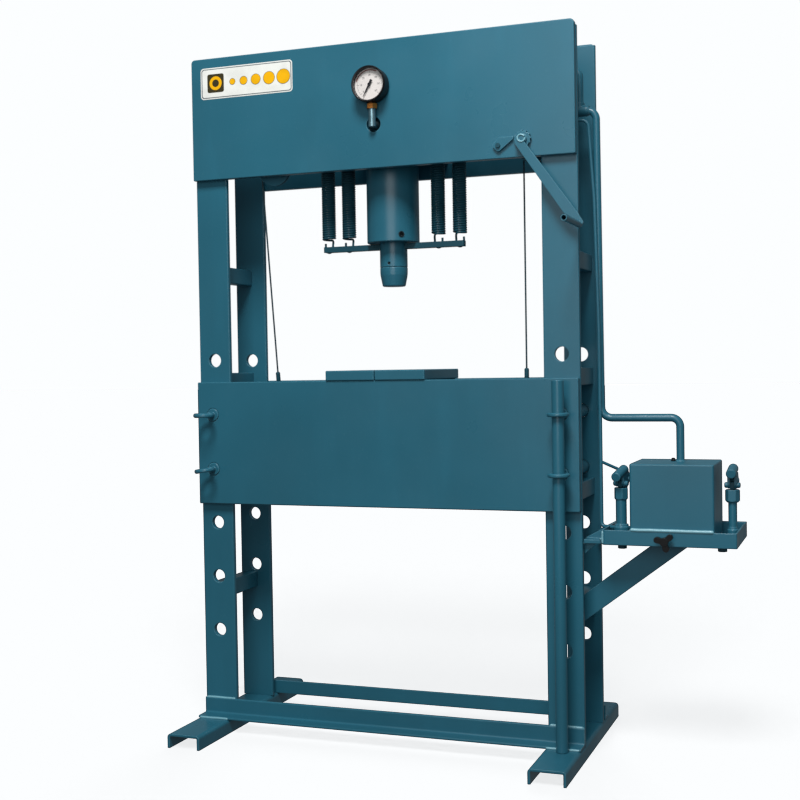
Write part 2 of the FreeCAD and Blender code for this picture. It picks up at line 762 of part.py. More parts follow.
def make_gauge_stem():
    """Branch from the barrel through the front plate, turning up to the gauge."""
    radius, below_branch = 10.0, 9.0
    level = GAUGE_PORT_LEVEL
    foot = Vector(GAUGE_X, GAUGE_STEM_Y, level - below_branch)
    upright = rod(foot, Vector(GAUGE_X, GAUGE_STEM_Y, GAUGE_NUT_BOTTOM), radius)
    inside_barrel = 6.0
    branch_end = Vector(GAUGE_X, -CYLINDER_RADIUS + inside_barrel, level)
    branch = rod(Vector(GAUGE_X, GAUGE_STEM_Y, level), branch_end, radius)
    return fused(upright, branch).cut(barrel_room())


# ---------------------------------------------------------------- winch, cables and pulley
SHAFT_RADIUS = 10.0
RATCHET_Y = (-158.0, -150.0)
ARM_Y = (-172.0, -165.0)
PAWL_BOLT_RADIUS = 4.0
DRUM_Y = (-108.0, 12.0)
RIGHT_CABLE_Y = 0.0
LEFT_CABLE_Y = -95.0
RUN_SLOPE = math.radians(1.0)
CABLE_FOOT_LEVEL = 1018.0
PULLEY_CABLE_RADIUS = 42.0
PAWL_PIVOT = (363.0, 1657.6)
PAWL_Y = (-156.0, -149.5)
HANDLE_CENTRE = (584.0, 1433.0)
HANDLE_FRONT = -344.0


def winch_point(y):
    """Point on the winch's axis."""
    return Vector(WINCH_X, y, WINCH_LEVEL)


def make_winch_shaft():
    """Shaft through both top plates, with its collar behind the crank arm and the ratchet wheel."""
    shaft = rod(winch_point(ARM_Y[1]), winch_point(PLATE_OUTSIDE - 2), SHAFT_RADIUS)
    collar = rod(winch_point(ARM_Y[1]), winch_point(RATCHET_Y[0]), 13.0)
    return fused(shaft, collar, make_ratchet())


def make_ratchet():
    """Ratchet wheel with saw teeth on the shaft."""
    teeth = 12
    tip_radius, root_radius = 24.4, 20.5
    outline = []
    for tooth in range(teeth):
        angle = 2 * math.pi * tooth / teeth
        for radius in (root_radius, tip_radius):
            x = WINCH_X + radius * math.cos(angle)
            outline.append((x, WINCH_LEVEL + radius * math.sin(angle)))
    return plate_along_y(outline, 0, *RATCHET_Y)


def make_pawl():
    """Flat pawl on its bolt, its nose just clear of the ratchet's teeth."""
    outline = [(344.8, 1657.8), (362.6, 1639.4), (405, 1672), (405.8, 1679), (365.6, 1680)]
    plate = plate_along_y(outline, [8, 8, 1, 1, 8], *PAWL_Y)
    pivot_x, pivot_z = PAWL_PIVOT
    hole_radius = PAWL_BOLT_RADIUS + RUNNING_GAP
    return plate.cut(rod(Vector(pivot_x, -170, pivot_z), Vector(pivot_x, -140, pivot_z), hole_radius))


def make_pawl_bolt():
    """Shoulder bolt that the pawl swings on."""
    pivot_x, pivot_z = PAWL_PIVOT
    front = Vector(pivot_x, PAWL_Y[0] - 0.5, pivot_z)
    head_flats, head_height = 12.0, 5.0
    head = hexagon_bar(head_flats, front, FRONTWARD, head_height)
    return fused(head, rod(front, Vector(pivot_x, -PLATE_OUTSIDE, pivot_z), PAWL_BOLT_RADIUS))


def make_crank():
    """Flat arm, welded to the shaft's collar, with an open tube for a handle at its slanting end."""
    outline = [
        (413, 1657),
        (545, 1464),
        (579.5, 1443.5),
        (591.4, 1430),
        (596.5, 1438),
        (582, 1463),
        (440, 1660),
        (437, 1676),
        (417, 1680),
    ]
    arm = plate_along_y(outline, [6, 3, 2, 1, 1, 3, 10, 9, 9], *ARM_Y)
    x, z = HANDLE_CENTRE
    outer, inner = 8.3, 6.2
    length = ARM_Y[0] - HANDLE_FRONT
    socket = rod(Vector(x, ARM_Y[0], z), Vector(x, ARM_Y[1], z), outer)
    handle_profile = [(inner, 0), (outer, 0), (outer, length), (inner, length)]
    handle = turned(handle_profile, Vector(x, ARM_Y[0], z), FRONTWARD)
    return fused(arm, socket, handle)


def make_drum():
    """Cable drum with three flanges: a wide bay for each cable."""
    core, flange, edge = DRUM_CABLE_RADIUS - CABLE_RADIUS - 0.6, 48.0, 1.0
    length = DRUM_Y[1] - DRUM_Y[0]
    middle = length / 2
    return turned(
        [
            (SHAFT_RADIUS, 0),
            (flange - edge, 0),
            (flange, edge),
            (flange, 4),
            (core, 5),
            (core, middle - 3),
            (flange, middle - 2),
            (flange, middle + 2),
            (core, middle + 3),
            (core, length - 5),
            (flange, length - 4),
            (flange, length - edge),
            (flange - edge, length),
            (SHAFT_RADIUS, length),
        ],
        winch_point(DRUM_Y[0]),
        Y_AXIS,
    )


def drum_arc(start_degrees, end_degrees, y):
    """Arc of cable on the drum, angles from +X towards +Z."""
    points = []
    for share in (0, 0.5, 1):
        angle = math.radians(start_degrees + (end_degrees - start_degrees) * share)
        offset = Vector(math.cos(angle), 0, math.sin(angle)) * DRUM_CABLE_RADIUS
        points.append(winch_point(y) + offset)
    return Part.Arc(*points).toShape(), points[0]


def make_right_cable():
    """Cable from the bed straight up to the left side of the drum and over it."""
    foot = Vector(WINCH_X - DRUM_CABLE_RADIUS, RIGHT_CABLE_Y, CABLE_FOOT_LEVEL + 40)
    over, leaving = drum_arc(180, 0, RIGHT_CABLE_Y)
    under, _ = drum_arc(0, -80, RIGHT_CABLE_Y)
    path = Part.Wire([Part.LineSegment(foot, leaving).toShape(), over, under])
    return swept_tube(path, foot, Z_AXIS, CABLE_RADIUS)


def left_cable_corner():
    """Where the drum's run and the bed's run of the left cable would meet, and the drum's tangent point."""
    rise = Vector(-math.sin(RUN_SLOPE), 0, math.cos(RUN_SLOPE)) * DRUM_CABLE_RADIUS
    leaving = winch_point(LEFT_CABLE_Y) + rise
    run = (leaving.x - LEFT_CABLE_X) / math.cos(RUN_SLOPE)
    corner = leaving - Vector(math.cos(RUN_SLOPE), 0, math.sin(RUN_SLOPE)) * run
    return corner, leaving


def left_cable_foot():
    """Lower end of the left cable, at the top of its ferrule."""
    corner, _ = left_cable_corner()
    anchor = Vector(LEFT_CABLE_X, 0, CABLE_FOOT_LEVEL)
    return anchor + (corner - anchor).normalize() * 40


def make_left_cable():
    """Cable from the bed up in front of the barrel, over the pulley and along to the drum."""
    foot = left_cable_foot()
    corner, leaving = left_cable_corner()
    start, middle, end = corner_arc(foot, corner, leaving, PULLEY_CABLE_RADIUS)
    slope_degrees = math.degrees(RUN_SLOPE)
    over, _ = drum_arc(90 + slope_degrees, -80, LEFT_CABLE_Y)
    edges = [
        Part.LineSegment(foot, start).toShape(),
        Part.Arc(start, middle, end).toShape(),
        Part.LineSegment(end, leaving).toShape(),
        over,
    ]
    return swept_tube(Part.Wire(edges), foot, start - foot, CABLE_RADIUS)


def pulley_axis():
    """Centre and axis of the left pulley, square to both runs of its cable."""
    corner, leaving = left_cable_corner()
    foot = left_cable_foot()
    to_drum = (leaving - corner).normalize()
    to_bed = (foot - corner).normalize()
    half_angle = to_drum.getAngle(to_bed) / 2
    centre = corner + (to_drum + to_bed).normalize() * (PULLEY_CABLE_RADIUS / math.sin(half_angle))
    return centre, to_drum.cross(to_bed).normalize() * -1


def make_pulley():
    """Grooved pulley that turns the left cable downwards."""
    groove, flange, half = PULLEY_CABLE_RADIUS - CABLE_RADIUS - 0.4, 50.0, 9.0
    centre, axis = pulley_axis()
    bore = 8.0 + RUNNING_GAP
    return turned(
        [
            (bore, -half),
            (flange - 1, -half),
            (flange, -half + 1),
            (flange, -half + 3),
            (groove, -3.5),
            (groove, 3.5),
            (flange, half - 3),
            (flange, half - 1),
            (flange - 1, half),
            (bore, half),
        ],
        centre,
        axis,
    )


def make_pulley_axle():
    """Fixed pin of the pulley on a boss inside the front top plate."""
    centre, axis = pulley_axis()
    if axis.y > 0:
        axis = axis * -1
    pin = rod(centre - axis * 14, centre + axis * 60, 8.0)
    boss = rod(centre + axis * 10, centre + axis * 60, 14.0)
    head = rod(centre - axis * 14, centre - axis * 10, 14.0)
    beyond_plate = box(-600, 600, -400, -COLUMN_HALF_DEPTH, 1400, 1900)
    return fused(pin, boss, head).cut(beyond_plate)


def make_cable_end(anchor, top):
    """Swaged ferrule, threaded eye end and lock nut of a cable, down to its spacer bar."""
    along = (top - anchor).normalize()
    ferrule = turned([(0, 0), (5.5, 0), (6.5, 1), (6.5, 22), (4.5, 25), (0, 25)], top - along * 25, along)
    nut = hexagon_bar(13.0, top - along * 35, along, 10.0)
    stem = rod(Vector(anchor.x, 0, CROSS_BAR_TOP), top - along * 24, 4.5)
    return fused(ferrule, nut, stem)


def make_cable_ends():
    """Both cable ends on the bed."""
    right_x = WINCH_X - DRUM_CABLE_RADIUS
    right = make_cable_end(Vector(right_x, 0, CABLE_FOOT_LEVEL), Vector(right_x, 0, CABLE_FOOT_LEVEL + 40))
    left = make_cable_end(Vector(LEFT_CABLE_X, 0, CABLE_FOOT_LEVEL), left_cable_foot())
    below = box(-600, 600, -100, 100, CROSS_BAR_TOP - 50, CROSS_BAR_TOP)
    return Part.makeCompound([left.cut(below), right.cut(below)])


# ---------------------------------------------------------------- pipes
RETURN_RADIUS = 10.0
RETURN_LEVEL = 1761.0
RETURN_RUN_LEVEL = 918.0
UPPER_PIPE_LEVEL = 1875.0
UPPER_PIPE_X = 553.5
TEE_LEFT = 520.0
TEE_BRANCH_TOP = 1783.0
PRESSURE_LEVEL = 1733.0
PRESSURE_RADIUS = 4.5
PRESSURE_Y = -18.0
PRESSURE_CORNER = Vector(603.5, PRESSURE_Y, 621.0)
PRESSURE_END = Vector(662.0, PUMP_Y, 621.0)
BRANCH_START = Vector(603.3, PRESSURE_Y, 799.0)
BRANCH_END = Vector(700.0, 52.0, 746.0)
BRANCH_RADIUS = 3.3
RETURN_TANK_X = 816.4


def make_return_tee():
    """Tee fitting that joins the upper pipe to the return pipe."""
    body_radius, collar_radius, length, bevel = 15.5, 13.0, 60.0, 7.0
    run = turned(
        [
            (0, 0),
            (collar_radius, 0),
            (body_radius, bevel),
            (body_radius, length - bevel),
            (collar_radius, length),
            (0, length),
        ],
        Vector(TEE_LEFT, 0, RETURN_LEVEL),
        X_AXIS,
    )
    middle = Vector(UPPER_PIPE_X, 0, RETURN_LEVEL)
    branch = rod(middle, Vector(UPPER_PIPE_X, 0, TEE_BRANCH_TOP), collar_radius)
    return fused(run, branch)


def make_return_pipe():
    """Thick pipe from the barrel's side through the tee, down beside the column and into the tank."""
    inside = CYLINDER_RADIUS - 12
    down = bent_tube(
        [
            Vector(inside, 0, RETURN_LEVEL),
            Vector(598.5, 0, RETURN_LEVEL),
            Vector(603, 0, RETURN_RUN_LEVEL),
            Vector(RETURN_TANK_X, 0, RETURN_RUN_LEVEL),
            Vector(RETURN_TANK_X, 0, TANK_TOP),
        ],
        [26.0, 30.0, 24.0],
        RETURN_RADIUS,
    )
    upper = bent_tube(
        [
            Vector(inside, 0, UPPER_PIPE_LEVEL),
            Vector(UPPER_PIPE_X, 0, UPPER_PIPE_LEVEL),
            Vector(UPPER_PIPE_X, 0, RETURN_LEVEL),
        ],
        [22.0],
        RETURN_RADIUS,
    )
    return fused(down, make_return_tee(), upper).cut(barrel_room())


def make_pressure_line():
    """Thin line from the barrel, bowing down to the left pump, with a branch to the tank's side."""
    y = PRESSURE_Y
    points = [
        Vector(CYLINDER_RADIUS - 12, y, PRESSURE_LEVEL),
        Vector(579.5, y, PRESSURE_LEVEL),
        Vector(594, y, 1513),
        Vector(602.5, y, 1150),
        PRESSURE_CORNER,
        PRESSURE_END,
    ]
    line = bent_tube(points, [22.0, 600.0, 800.0, 12.0], PRESSURE_RADIUS)
    branch = rod(BRANCH_START, BRANCH_END, BRANCH_RADIUS)
    tank = box(TANK_LEFT, TANK_RIGHT, TRAY_FRONT, TANK_BACK, TRAY_FLOOR, TANK_TOP)
    pump_x, boss_radius = PUMPS[0][1], PUMPS[0][4]
    boss = rod(Vector(pump_x, PUMP_Y, TRAY_FLOOR), Vector(pump_x, PUMP_Y, COLLAR_BOTTOM), boss_radius)
    return fused(line, branch).cut([barrel_room(), tank, boss])


# ---------------------------------------------------------------- pump bracket, tank and brace
def make_tray():
    """Folded tray for the tank and both pumps, notched for the pressure line and low at its left rear."""
    inset = TRAY_SHEET
    outline = rectangle(TRAY_LEFT, TRAY_RIGHT, TRAY_FRONT, TRAY_BACK)
    inner_outline = rectangle(TRAY_LEFT + inset, TRAY_RIGHT - inset, TRAY_FRONT + inset, TRAY_BACK - inset)
    outer = plate_along_z(outline, [10, 3, 3, 3], TRAY_BOTTOM, TRAY_TOP)
    inner = plate_along_z(inner_outline, [6, 2, 2, 2], TRAY_FLOOR, TRAY_TOP + 5)
    stem_centre = Vector(KNOB_X, TRAY_FRONT, KNOB_LEVEL)
    reach = Vector(0, 20, 0)
    holes = [rod(stem_centre - reach, stem_centre + reach, VALVE_STEM_RADIUS + RUNNING_GAP)]
    holes.append(rod(PRESSURE_CORNER, PRESSURE_END, PRESSURE_RADIUS + 0.5))
    low_end, low_top = 665.0, 604.0
    holes.append(box(TRAY_LEFT + inset, low_end, TRAY_BACK - inset - 1, TRAY_BACK + 1, low_top, TRAY_TOP + 1))
    for x in TRAY_BOLTS:
        below = Vector(x, PUMP_Y, TRAY_BOTTOM - 5)
        holes.append(rod(below, below + Vector(0, 0, 15), TRAY_BOLT_RADIUS + RUNNING_GAP))
    return outer.cut(inner).cut(holes)


def make_tray_arms():
    """Two flat bars that join the tray to the right column, each with a web above and a gusset below."""
    column_face = COLUMN_X + BAR_WIDTH / 2
    bar_inside, bar_width, bar_thickness = 72.0, 40.0, 10.0
    web_y, gusset_y, half_sheet = 75.0, 95.0, 3.0
    bar_top = TRAY_BOTTOM + bar_thickness
    web_outline = [
        (column_face, bar_top),
        (TRAY_LEFT, bar_top),
        (TRAY_LEFT, TRAY_TOP),
        (column_face, bar_top + 2),
    ]
    gusset_outline = [
        (column_face, TRAY_BOTTOM),
        (column_face, TRAY_BOTTOM - 30),
        (TRAY_LEFT - 19, TRAY_BOTTOM),
    ]
    arms = []
    for depth_side in (-1, 1):
        y_low = min(depth_side * bar_inside, depth_side * (bar_inside + bar_width))
        bar = box(column_face, TRAY_LEFT, y_low, y_low + bar_width, TRAY_BOTTOM, bar_top)
        web_middle = depth_side * web_y
        web = plate_along_y(web_outline, 0, web_middle - half_sheet, web_middle + half_sheet)
        gusset_middle = depth_side * gusset_y
        gusset = plate_along_y(gusset_outline, 0, gusset_middle - half_sheet, gusset_middle + half_sheet)
        arms.append(fused(bar, web, gusset))
    return Part.makeCompound(arms)


def make_brace():
    """Sloping channel from the lowest tie up to the tray's floor."""
    x_low, width, slope = 558.0, 58.0, math.radians(37.2)
    upright = width / math.cos(slope)
    z_foot = 362.0
    run = (TRAY_BOTTOM - z_foot) / math.tan(slope)
    top_run = (TRAY_BOTTOM - z_foot - upright) / math.tan(slope)
    wall = 5.0
    outline = [
        (x_low, z_foot),
        (x_low + run, TRAY_BOTTOM),
        (x_low + top_run, TRAY_BOTTOM),
        (x_low, z_foot + upright),
    ]
    solid = plate_along_y(outline, 0, PUMP_Y, PUMP_Y + 40)
    drop = wall / math.cos(slope)
    inner_outline = [
        (x_low - 20, z_foot + drop - 20 * math.tan(slope)),
        (x_low + run + 40, TRAY_BOTTOM + drop + 40 * math.tan(slope)),
        (x_low + run + 40, TRAY_BOTTOM + upright - drop + 40 * math.tan(slope)),
        (x_low - 20, z_foot + upright - drop - 20 * math.tan(slope)),
    ]
    return solid.cut(plate_along_y(inner_outline, 0, PUMP_Y + wall, PUMP_Y + 60))


def make_tank():
    """Oil tank standing in the tray, with a weld ring round the return pipe's end."""
    front = TRAY_FRONT + TRAY_SHEET
    outline = rectangle(TANK_LEFT, TANK_RIGHT, front, TANK_BACK)
    tank = plate_along_z(outline, 5.0, TRAY_FLOOR, TANK_TOP)
    tank = softened(tank, 2, TANK_TOP, 2.5)
    ring = turned([(0, 0), (13, 0), (13, 2), (11, 4), (0, 4)], Vector(RETURN_TANK_X, 0, TANK_TOP))
    pipe = rod(Vector(RETURN_TANK_X, 0, TANK_TOP), Vector(RETURN_TANK_X, 0, TANK_TOP + 10), RETURN_RADIUS)
    return fused(tank, ring).cut(pipe)


def make_filler_plug():
    """Small breather plug on the tank."""
    return turned([(0, 0), (6, 0), (6, 3), (4.5, 4), (4.5, 7), (3, 8), (0, 8)], Vector(797, 0, TANK_TOP))


TRAY_BOLTS = (664.0, 929.0)
TRAY_BOLT_RADIUS = 5.0
KNOB_X = 793.0
KNOB_LEVEL = 601.0
VALVE_STEM_RADIUS = 5.0


def make_bolt_heads():
    """The pawl's bolt and the two bolts under the tray, each with a long nut on a round spacer."""
    nut_flats, nut_bottom, spacer_radius, spacer_bottom = 20.0, 20.0, 8.0, 8.0
    bolts = [make_pawl_bolt()]
    for x in TRAY_BOLTS:
        under = Vector(x, PUMP_Y, TRAY_BOTTOM)
        nut = hexagon_bar(nut_flats, under - Z_AXIS * nut_bottom, Z_AXIS, nut_bottom - spacer_bottom)
        spacer = rod(under - Z_AXIS * spacer_bottom, under, spacer_radius)
        shank = rod(under - Z_AXIS, Vector(x, PUMP_Y, TRAY_FLOOR), TRAY_BOLT_RADIUS)
        bolts.append(fused(nut, spacer, shank))
    return Part.makeCompound(bolts)


def make_knob():
    """Three-lobed hand knob of the release valve, with its stem through the tray's front wall."""
    lobe_reach, lobe_radius, hub_radius = 19.0, 8.0, 11.0
    y_front, y_back = -158.0, -140.0
    stem_end = TRAY_FRONT + TRAY_SHEET - 0.5
    knob = rod(Vector(KNOB_X, y_front, KNOB_LEVEL), Vector(KNOB_X, y_back, KNOB_LEVEL), hub_radius)
    stem_start = Vector(KNOB_X, y_front + 5, KNOB_LEVEL)
    knob = knob.fuse(rod(stem_start, Vector(KNOB_X, stem_end, KNOB_LEVEL), VALVE_STEM_RADIUS))
    for angle_degrees in (40, 165, 285):
        angle = math.radians(angle_degrees)
        across = Vector(-math.sin(angle), 0, math.cos(angle)) * lobe_radius
        reach = Vector(math.cos(angle), 0, math.sin(angle)) * lobe_reach
        centre = Vector(KNOB_X, y_front + 2, KNOB_LEVEL)
        neck = across * 0.75
        corners = [centre - neck, centre + reach - across, centre + reach + across, centre + neck]
        arm = Part.Face(Part.makePolygon(corners + [corners[0]])).extrude(Vector(0, y_back - y_front - 4, 0))
        end = rod(centre + reach, centre + reach + Vector(0, y_back - y_front - 4, 0), lobe_radius)
        knob = knob.fuse([arm, end])
    return knob.removeSplitter()


# ---------------------------------------------------------------- hand pumps
# Each pump is drawn round the vertical through X = Y = 0 and then set in its place.
# (name, x, post radius, plunger radius, boss radius, turn about the vertical, stub's ends as (y, z))
PUMPS = (
    ("left", 662.0, 14.0, 9.0, 21.5, -9.0, ((-40.0, 761.0), (27.0, 778.0))),
    ("right", 956.0, 10.6, 6.0, 14.5, 0.0, ((-37.0, 774.0), (27.0, 784.0))),
)
BOSS_TOP = 632.0
COLLAR_FLATS = 32.0
COLLAR_BOTTOM = 697.0
COLLAR_TOP = 730.0
PIN_LEVEL = 742.0
PIVOT_Y = 32.0
PIVOT_LEVEL = 752.0
PIVOT_RADIUS = 5.0
STUB_RADIUS = 12.5
CHEEK_INNER = 5.6
CHEEK_OUTER = 11.5


def make_collar():
    """Hexagonal collar on the post, its corners chamfered, more below than above."""
    corner_radius = COLLAR_FLATS / math.sqrt(3)
    height = COLLAR_TOP - COLLAR_BOTTOM
    hexagon = hexagon_bar(COLLAR_FLATS, Vector(0, 0, COLLAR_BOTTOM), Z_AXIS, height)
    envelope = turned(
        [
            (0, 0),
            (corner_radius - 5, 0),
            (corner_radius, 5),
            (corner_radius, height - 2),
            (corner_radius - 2, height),
            (0, height),
        ],
        Vector(0, 0, COLLAR_BOTTOM),
    )
    return hexagon.common(envelope)


def make_pump_body(post_radius, plunger_radius, boss_radius):
    """Pump barrel on its boss, with a hexagonal collar and a rear lug for the rocker's pivot."""
    bore = plunger_radius + RUNNING_GAP
    bore_bottom = 650.0
    barrel = turned(
        [
            (0, TRAY_FLOOR),
            (boss_radius, TRAY_FLOOR),
            (boss_radius, BOSS_TOP - 7),
            (boss_radius - 3, BOSS_TOP - 5),
            (boss_radius - 3, BOSS_TOP - 1),
            (post_radius, BOSS_TOP),
            (post_radius, COLLAR_TOP),
            (0, COLLAR_TOP),
        ],
        Vector(),
    )
    lug_outline = [
        (COLLAR_FLATS / 2 - 3, 703),
        (COLLAR_FLATS / 2 - 3, 728),
        (PIVOT_Y - 9, 762),
        (PIVOT_Y + 9, 762),
        (PIVOT_Y + 9, 738),
        (PIVOT_Y - 6, 703),
    ]
    lug = plate_along_x(lug_outline, [0, 0, 8, 8, 8, 0], -5.0, 5.0)
    pivot_left = Vector(-30, PIVOT_Y, PIVOT_LEVEL)
    pivot_right = Vector(30, PIVOT_Y, PIVOT_LEVEL)
    holes = [
        rod(Vector(0, 0, bore_bottom), Vector(0, 0, COLLAR_TOP + 5), bore),
        rod(pivot_left, pivot_right, PIVOT_RADIUS + RUNNING_GAP),
    ]
    return fused(barrel, make_collar(), lug).cut(holes)


def make_plunger(plunger_radius):
    """Plunger with a flat head, cross-slotted for the rocker's pin."""
    shoulder = COLLAR_TOP - 5
    stem = rod(Vector(0, 0, 652), Vector(0, 0, shoulder), plunger_radius)
    neck = rod(Vector(0, 0, shoulder), Vector(0, 0, 733), 4.8)
    head = plate_along_x(rectangle(-8.5, 7.5, 730.6, 751.5), 4.0, -5.0, 5.0)
    slot = plate_along_x(rectangle(-6.2, 5.4, PIN_LEVEL - 4.4, PIN_LEVEL + 4.4), 4.3, -10.0, 10.0)
    return fused(stem, neck, head).cut(slot)


def make_rocker(stub_ends):
    """Rocker: two cheeks under a round stub that the lever slips over."""
    front, rear = (Vector(0, *end) for end in stub_ends)
    length = (rear - front).Length
    bevel = 1.5
    stub = turned(
        [
            (0, 0),
            (STUB_RADIUS - bevel, 0),
            (STUB_RADIUS, bevel),
            (STUB_RADIUS, length - bevel),
            (STUB_RADIUS - bevel, length),
            (0, length),
        ],
        front,
        rear - front,
    )
    outline = [(-12, 770), (-12, 742), (-5, 733.5), (8, 733.5), (30, 741), (41, 747), (41, 757), (28, 774)]
    radii = [0, 5, 5, 4, 4, 5, 5, 0]
    thickness = CHEEK_OUTER - CHEEK_INNER
    cheeks = [plate_along_x(outline, radii, low, low + thickness) for low in (-CHEEK_OUTER, CHEEK_INNER)]
    return fused(stub, *cheeks, *make_rocker_pins())


def make_rocker_pins():
    """The plunger's cross pin, with a round head at each end, and the pivot pin of a rocker."""
    reach = CHEEK_OUTER + 2
    pins = [
        rod(Vector(-reach, 0, PIN_LEVEL), Vector(reach, 0, PIN_LEVEL), 4.0),
        rod(Vector(-reach, PIVOT_Y, PIVOT_LEVEL), Vector(reach, PIVOT_Y, PIVOT_LEVEL), PIVOT_RADIUS),
    ]
    head_profile = [(0, 0), (6.2, 0), (7, 1), (7, 6), (5, 8.5), (0, 8.5)]
    for side in (-1, 1):
        pins.append(turned(head_profile, Vector(side * CHEEK_OUTER, 0, PIN_LEVEL), Vector(side, 0, 0)))
    return pins


def set_pump(shape, x, turn):
    """Pump piece turned about its own vertical and moved to its place on the tray."""
    placed = shape.copy()
    placed.rotate(Vector(), Z_AXIS, turn)
    placed.translate(Vector(x, PUMP_Y, 0))
    return placed


# ---------------------------------------------------------------- all the nodes
def frame_nodes():
    """Columns, plates, ties, feet and base beams."""
    nodes = {}
    for depth_name, depth_side in (("front", -1), ("rear", 1)):
        nodes[f"top_plate_{depth_name}"] = make_top_plate(depth_side)
        nodes[f"bed_plate_{depth_name}"] = make_bed_plate(depth_side)
        nodes[f"base_beam_{depth_name}"] = make_base_beam(depth_side)
        for side_name, side in (("left", -1), ("right", 1)):
            nodes[f"upright_{depth_name}_{side_name}"] = make_upright(side, depth_side)
    for side_name, side in (("left", -1), ("right", 1)):
        nodes[f"foot_{side_name}"] = make_foot(side)
    nodes["column_ties"] = make_ties()
    nodes["bed_cross_bars"] = make_cross_bars()
    nodes["press_block_left"] = make_press_block(-157, -9)
    nodes["press_block_right"] = make_press_block(-7, 141.5)
    return nodes


def pin_nodes():
    """The four bed pins and the lever stored in the right ones."""
    low, high = BED_HOLE_LEVELS
    return {
        "pin_upper_left": make_pin(-1, high, 0),
        "pin_lower_left": make_pin(-1, low, LOWER_EYE_TURN),
        "pin_upper_right": make_pin(1, high, 0),
        "pin_lower_right": make_pin(1, low, 0),
        "lever_pipe": make_lever(),
    }


def ram_nodes():
    """Cylinder, ram and return springs."""
    nodes = {
        "cylinder": make_cylinder(),
        "cylinder_plug": make_cylinder_plug(),
        "cylinder_head": make_cylinder_head(),
        "cylinder_gland": make_gland(),
        "cylinder_saddles": make_saddles(),
        "ram": make_ram(),
        "ram_nose": make_ram_nose(),
        "spring_bar": make_spring_bar(),
    }
    spring = make_spring()
    nodes["return_springs"] = Part.makeCompound([place_spring(spring, x) for x in SPRING_CENTRES])
    return nodes


def gauge_nodes():
    """Pressure gauge and its branch."""
    return {
        "gauge_case": make_gauge_case(),
        "gauge_dial": make_gauge_dial(),
        "gauge_needle": make_gauge_needle(),
        "gauge_glass": make_gauge_glass(),
        "gauge_nut": make_gauge_nut(),
        "gauge_stem": make_gauge_stem(),
    }


def winch_nodes():
    """Winch, cables, pulley and cable ends."""
    return {
        "winch_shaft": make_winch_shaft(),
        "winch_drum": make_drum(),
        "crank": make_crank(),
        "pawl": make_pawl(),
        "cable_left": make_left_cable(),
        "cable_right": make_right_cable(),
        "cable_ferrules": make_cable_ends(),
        "cable_pulley": make_pulley(),
        "pulley_axle": make_pulley_axle(),
    }


def pipe_and_pump_nodes():
    """Pipes, tank bracket and hand pumps."""
    nodes = {
        "return_pipe": make_return_pipe(),
        "pressure_line": make_pressure_line(),
        "pump_tray": make_tray(),
        "tray_arms": make_tray_arms(),
        "tray_brace": make_brace(),
        "bolt_heads": make_bolt_heads(),
        "oil_tank": make_tank(),
        "filler_plug": make_filler_plug(),
        "release_knob": make_knob(),
    }
    for name, x, post_radius, plunger_radius, boss_radius, turn, stub_ends in PUMPS:
        body = make_pump_body(post_radius, plunger_radius, boss_radius)
        nodes[f"pump_body_{name}"] = set_pump(body, x, turn)
        nodes[f"pump_plunger_{name}"] = set_pump(make_plunger(plunger_radius), x, turn)
        nodes[f"pump_rocker_{name}"] = set_pump(make_rocker(stub_ends), x, turn)
    return nodes


def export_all():
    """Write one STEP file per node."""
    nodes = {}
    for group in (frame_nodes, pin_nodes, ram_nodes, gauge_nodes, winch_nodes, pipe_and_pump_nodes):
        nodes.update(group())
    for name, shape in nodes.items():
        shape.exportStep(f"parts/{name}.step")
        print(f"{name}: {len(shape.Solids)} solid(s), valid {shape.isValid()}, volume {shape.Volume:.0f}")
    print(f"{len(nodes)} nodes")


export_all()
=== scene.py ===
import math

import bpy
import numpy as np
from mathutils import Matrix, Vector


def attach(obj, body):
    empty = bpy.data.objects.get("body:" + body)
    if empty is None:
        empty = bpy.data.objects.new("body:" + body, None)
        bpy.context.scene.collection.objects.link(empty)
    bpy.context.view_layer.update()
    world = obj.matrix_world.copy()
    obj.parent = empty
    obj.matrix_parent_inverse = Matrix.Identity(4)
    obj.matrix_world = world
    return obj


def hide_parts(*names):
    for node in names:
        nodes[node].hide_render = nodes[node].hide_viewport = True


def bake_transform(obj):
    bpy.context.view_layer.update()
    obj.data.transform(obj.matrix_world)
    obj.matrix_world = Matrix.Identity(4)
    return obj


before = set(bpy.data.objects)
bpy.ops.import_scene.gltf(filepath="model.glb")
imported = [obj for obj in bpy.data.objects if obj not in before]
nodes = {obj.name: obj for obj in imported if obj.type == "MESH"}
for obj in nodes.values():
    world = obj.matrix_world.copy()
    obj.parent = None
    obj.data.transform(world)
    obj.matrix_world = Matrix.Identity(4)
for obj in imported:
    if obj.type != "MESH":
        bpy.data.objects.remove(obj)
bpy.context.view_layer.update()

# %% [markdown]
# # A hydraulic workshop press
# The packed model gives the exact steel: plates, bars, ram, pipes and pumps. This file gives it
# its looks, cell by cell: paint with its edges rubbed bright, the fine wire of the springs, the
# lay of the ropes, weld beads, the print on the gauge and on the sign, then light and camera.
# Everything is in metres, in the frame of the model: X right, Y back, Z up.

# %% [markdown]
# ## Colours
# A colour is given as a triple from 0 to 255 like in any paint program. A shader counts
# light instead, so every triple is made linear on its way in. Typing linear numbers straight
# away would also do, but nobody can see a colour in them.


# %% Colours
def colour(tone):
    """Linear colour of an sRGB triple: c <= 0.04045 ? c / 12.92 : ((c + 0.055) / 1.055) ^ 2.4."""
    shares = np.array(tone) / 255
    linear = np.where(shares <= 0.04045, shares / 12.92, ((shares + 0.055) / 1.055) ** 2.4)
    return (*[float(v) for v in linear], 1.0)


def shaded(tone, share):
    """The same sRGB triple made lighter or darker by a factor, never past white."""
    return tuple(min(255.0, channel * share) for channel in tone)


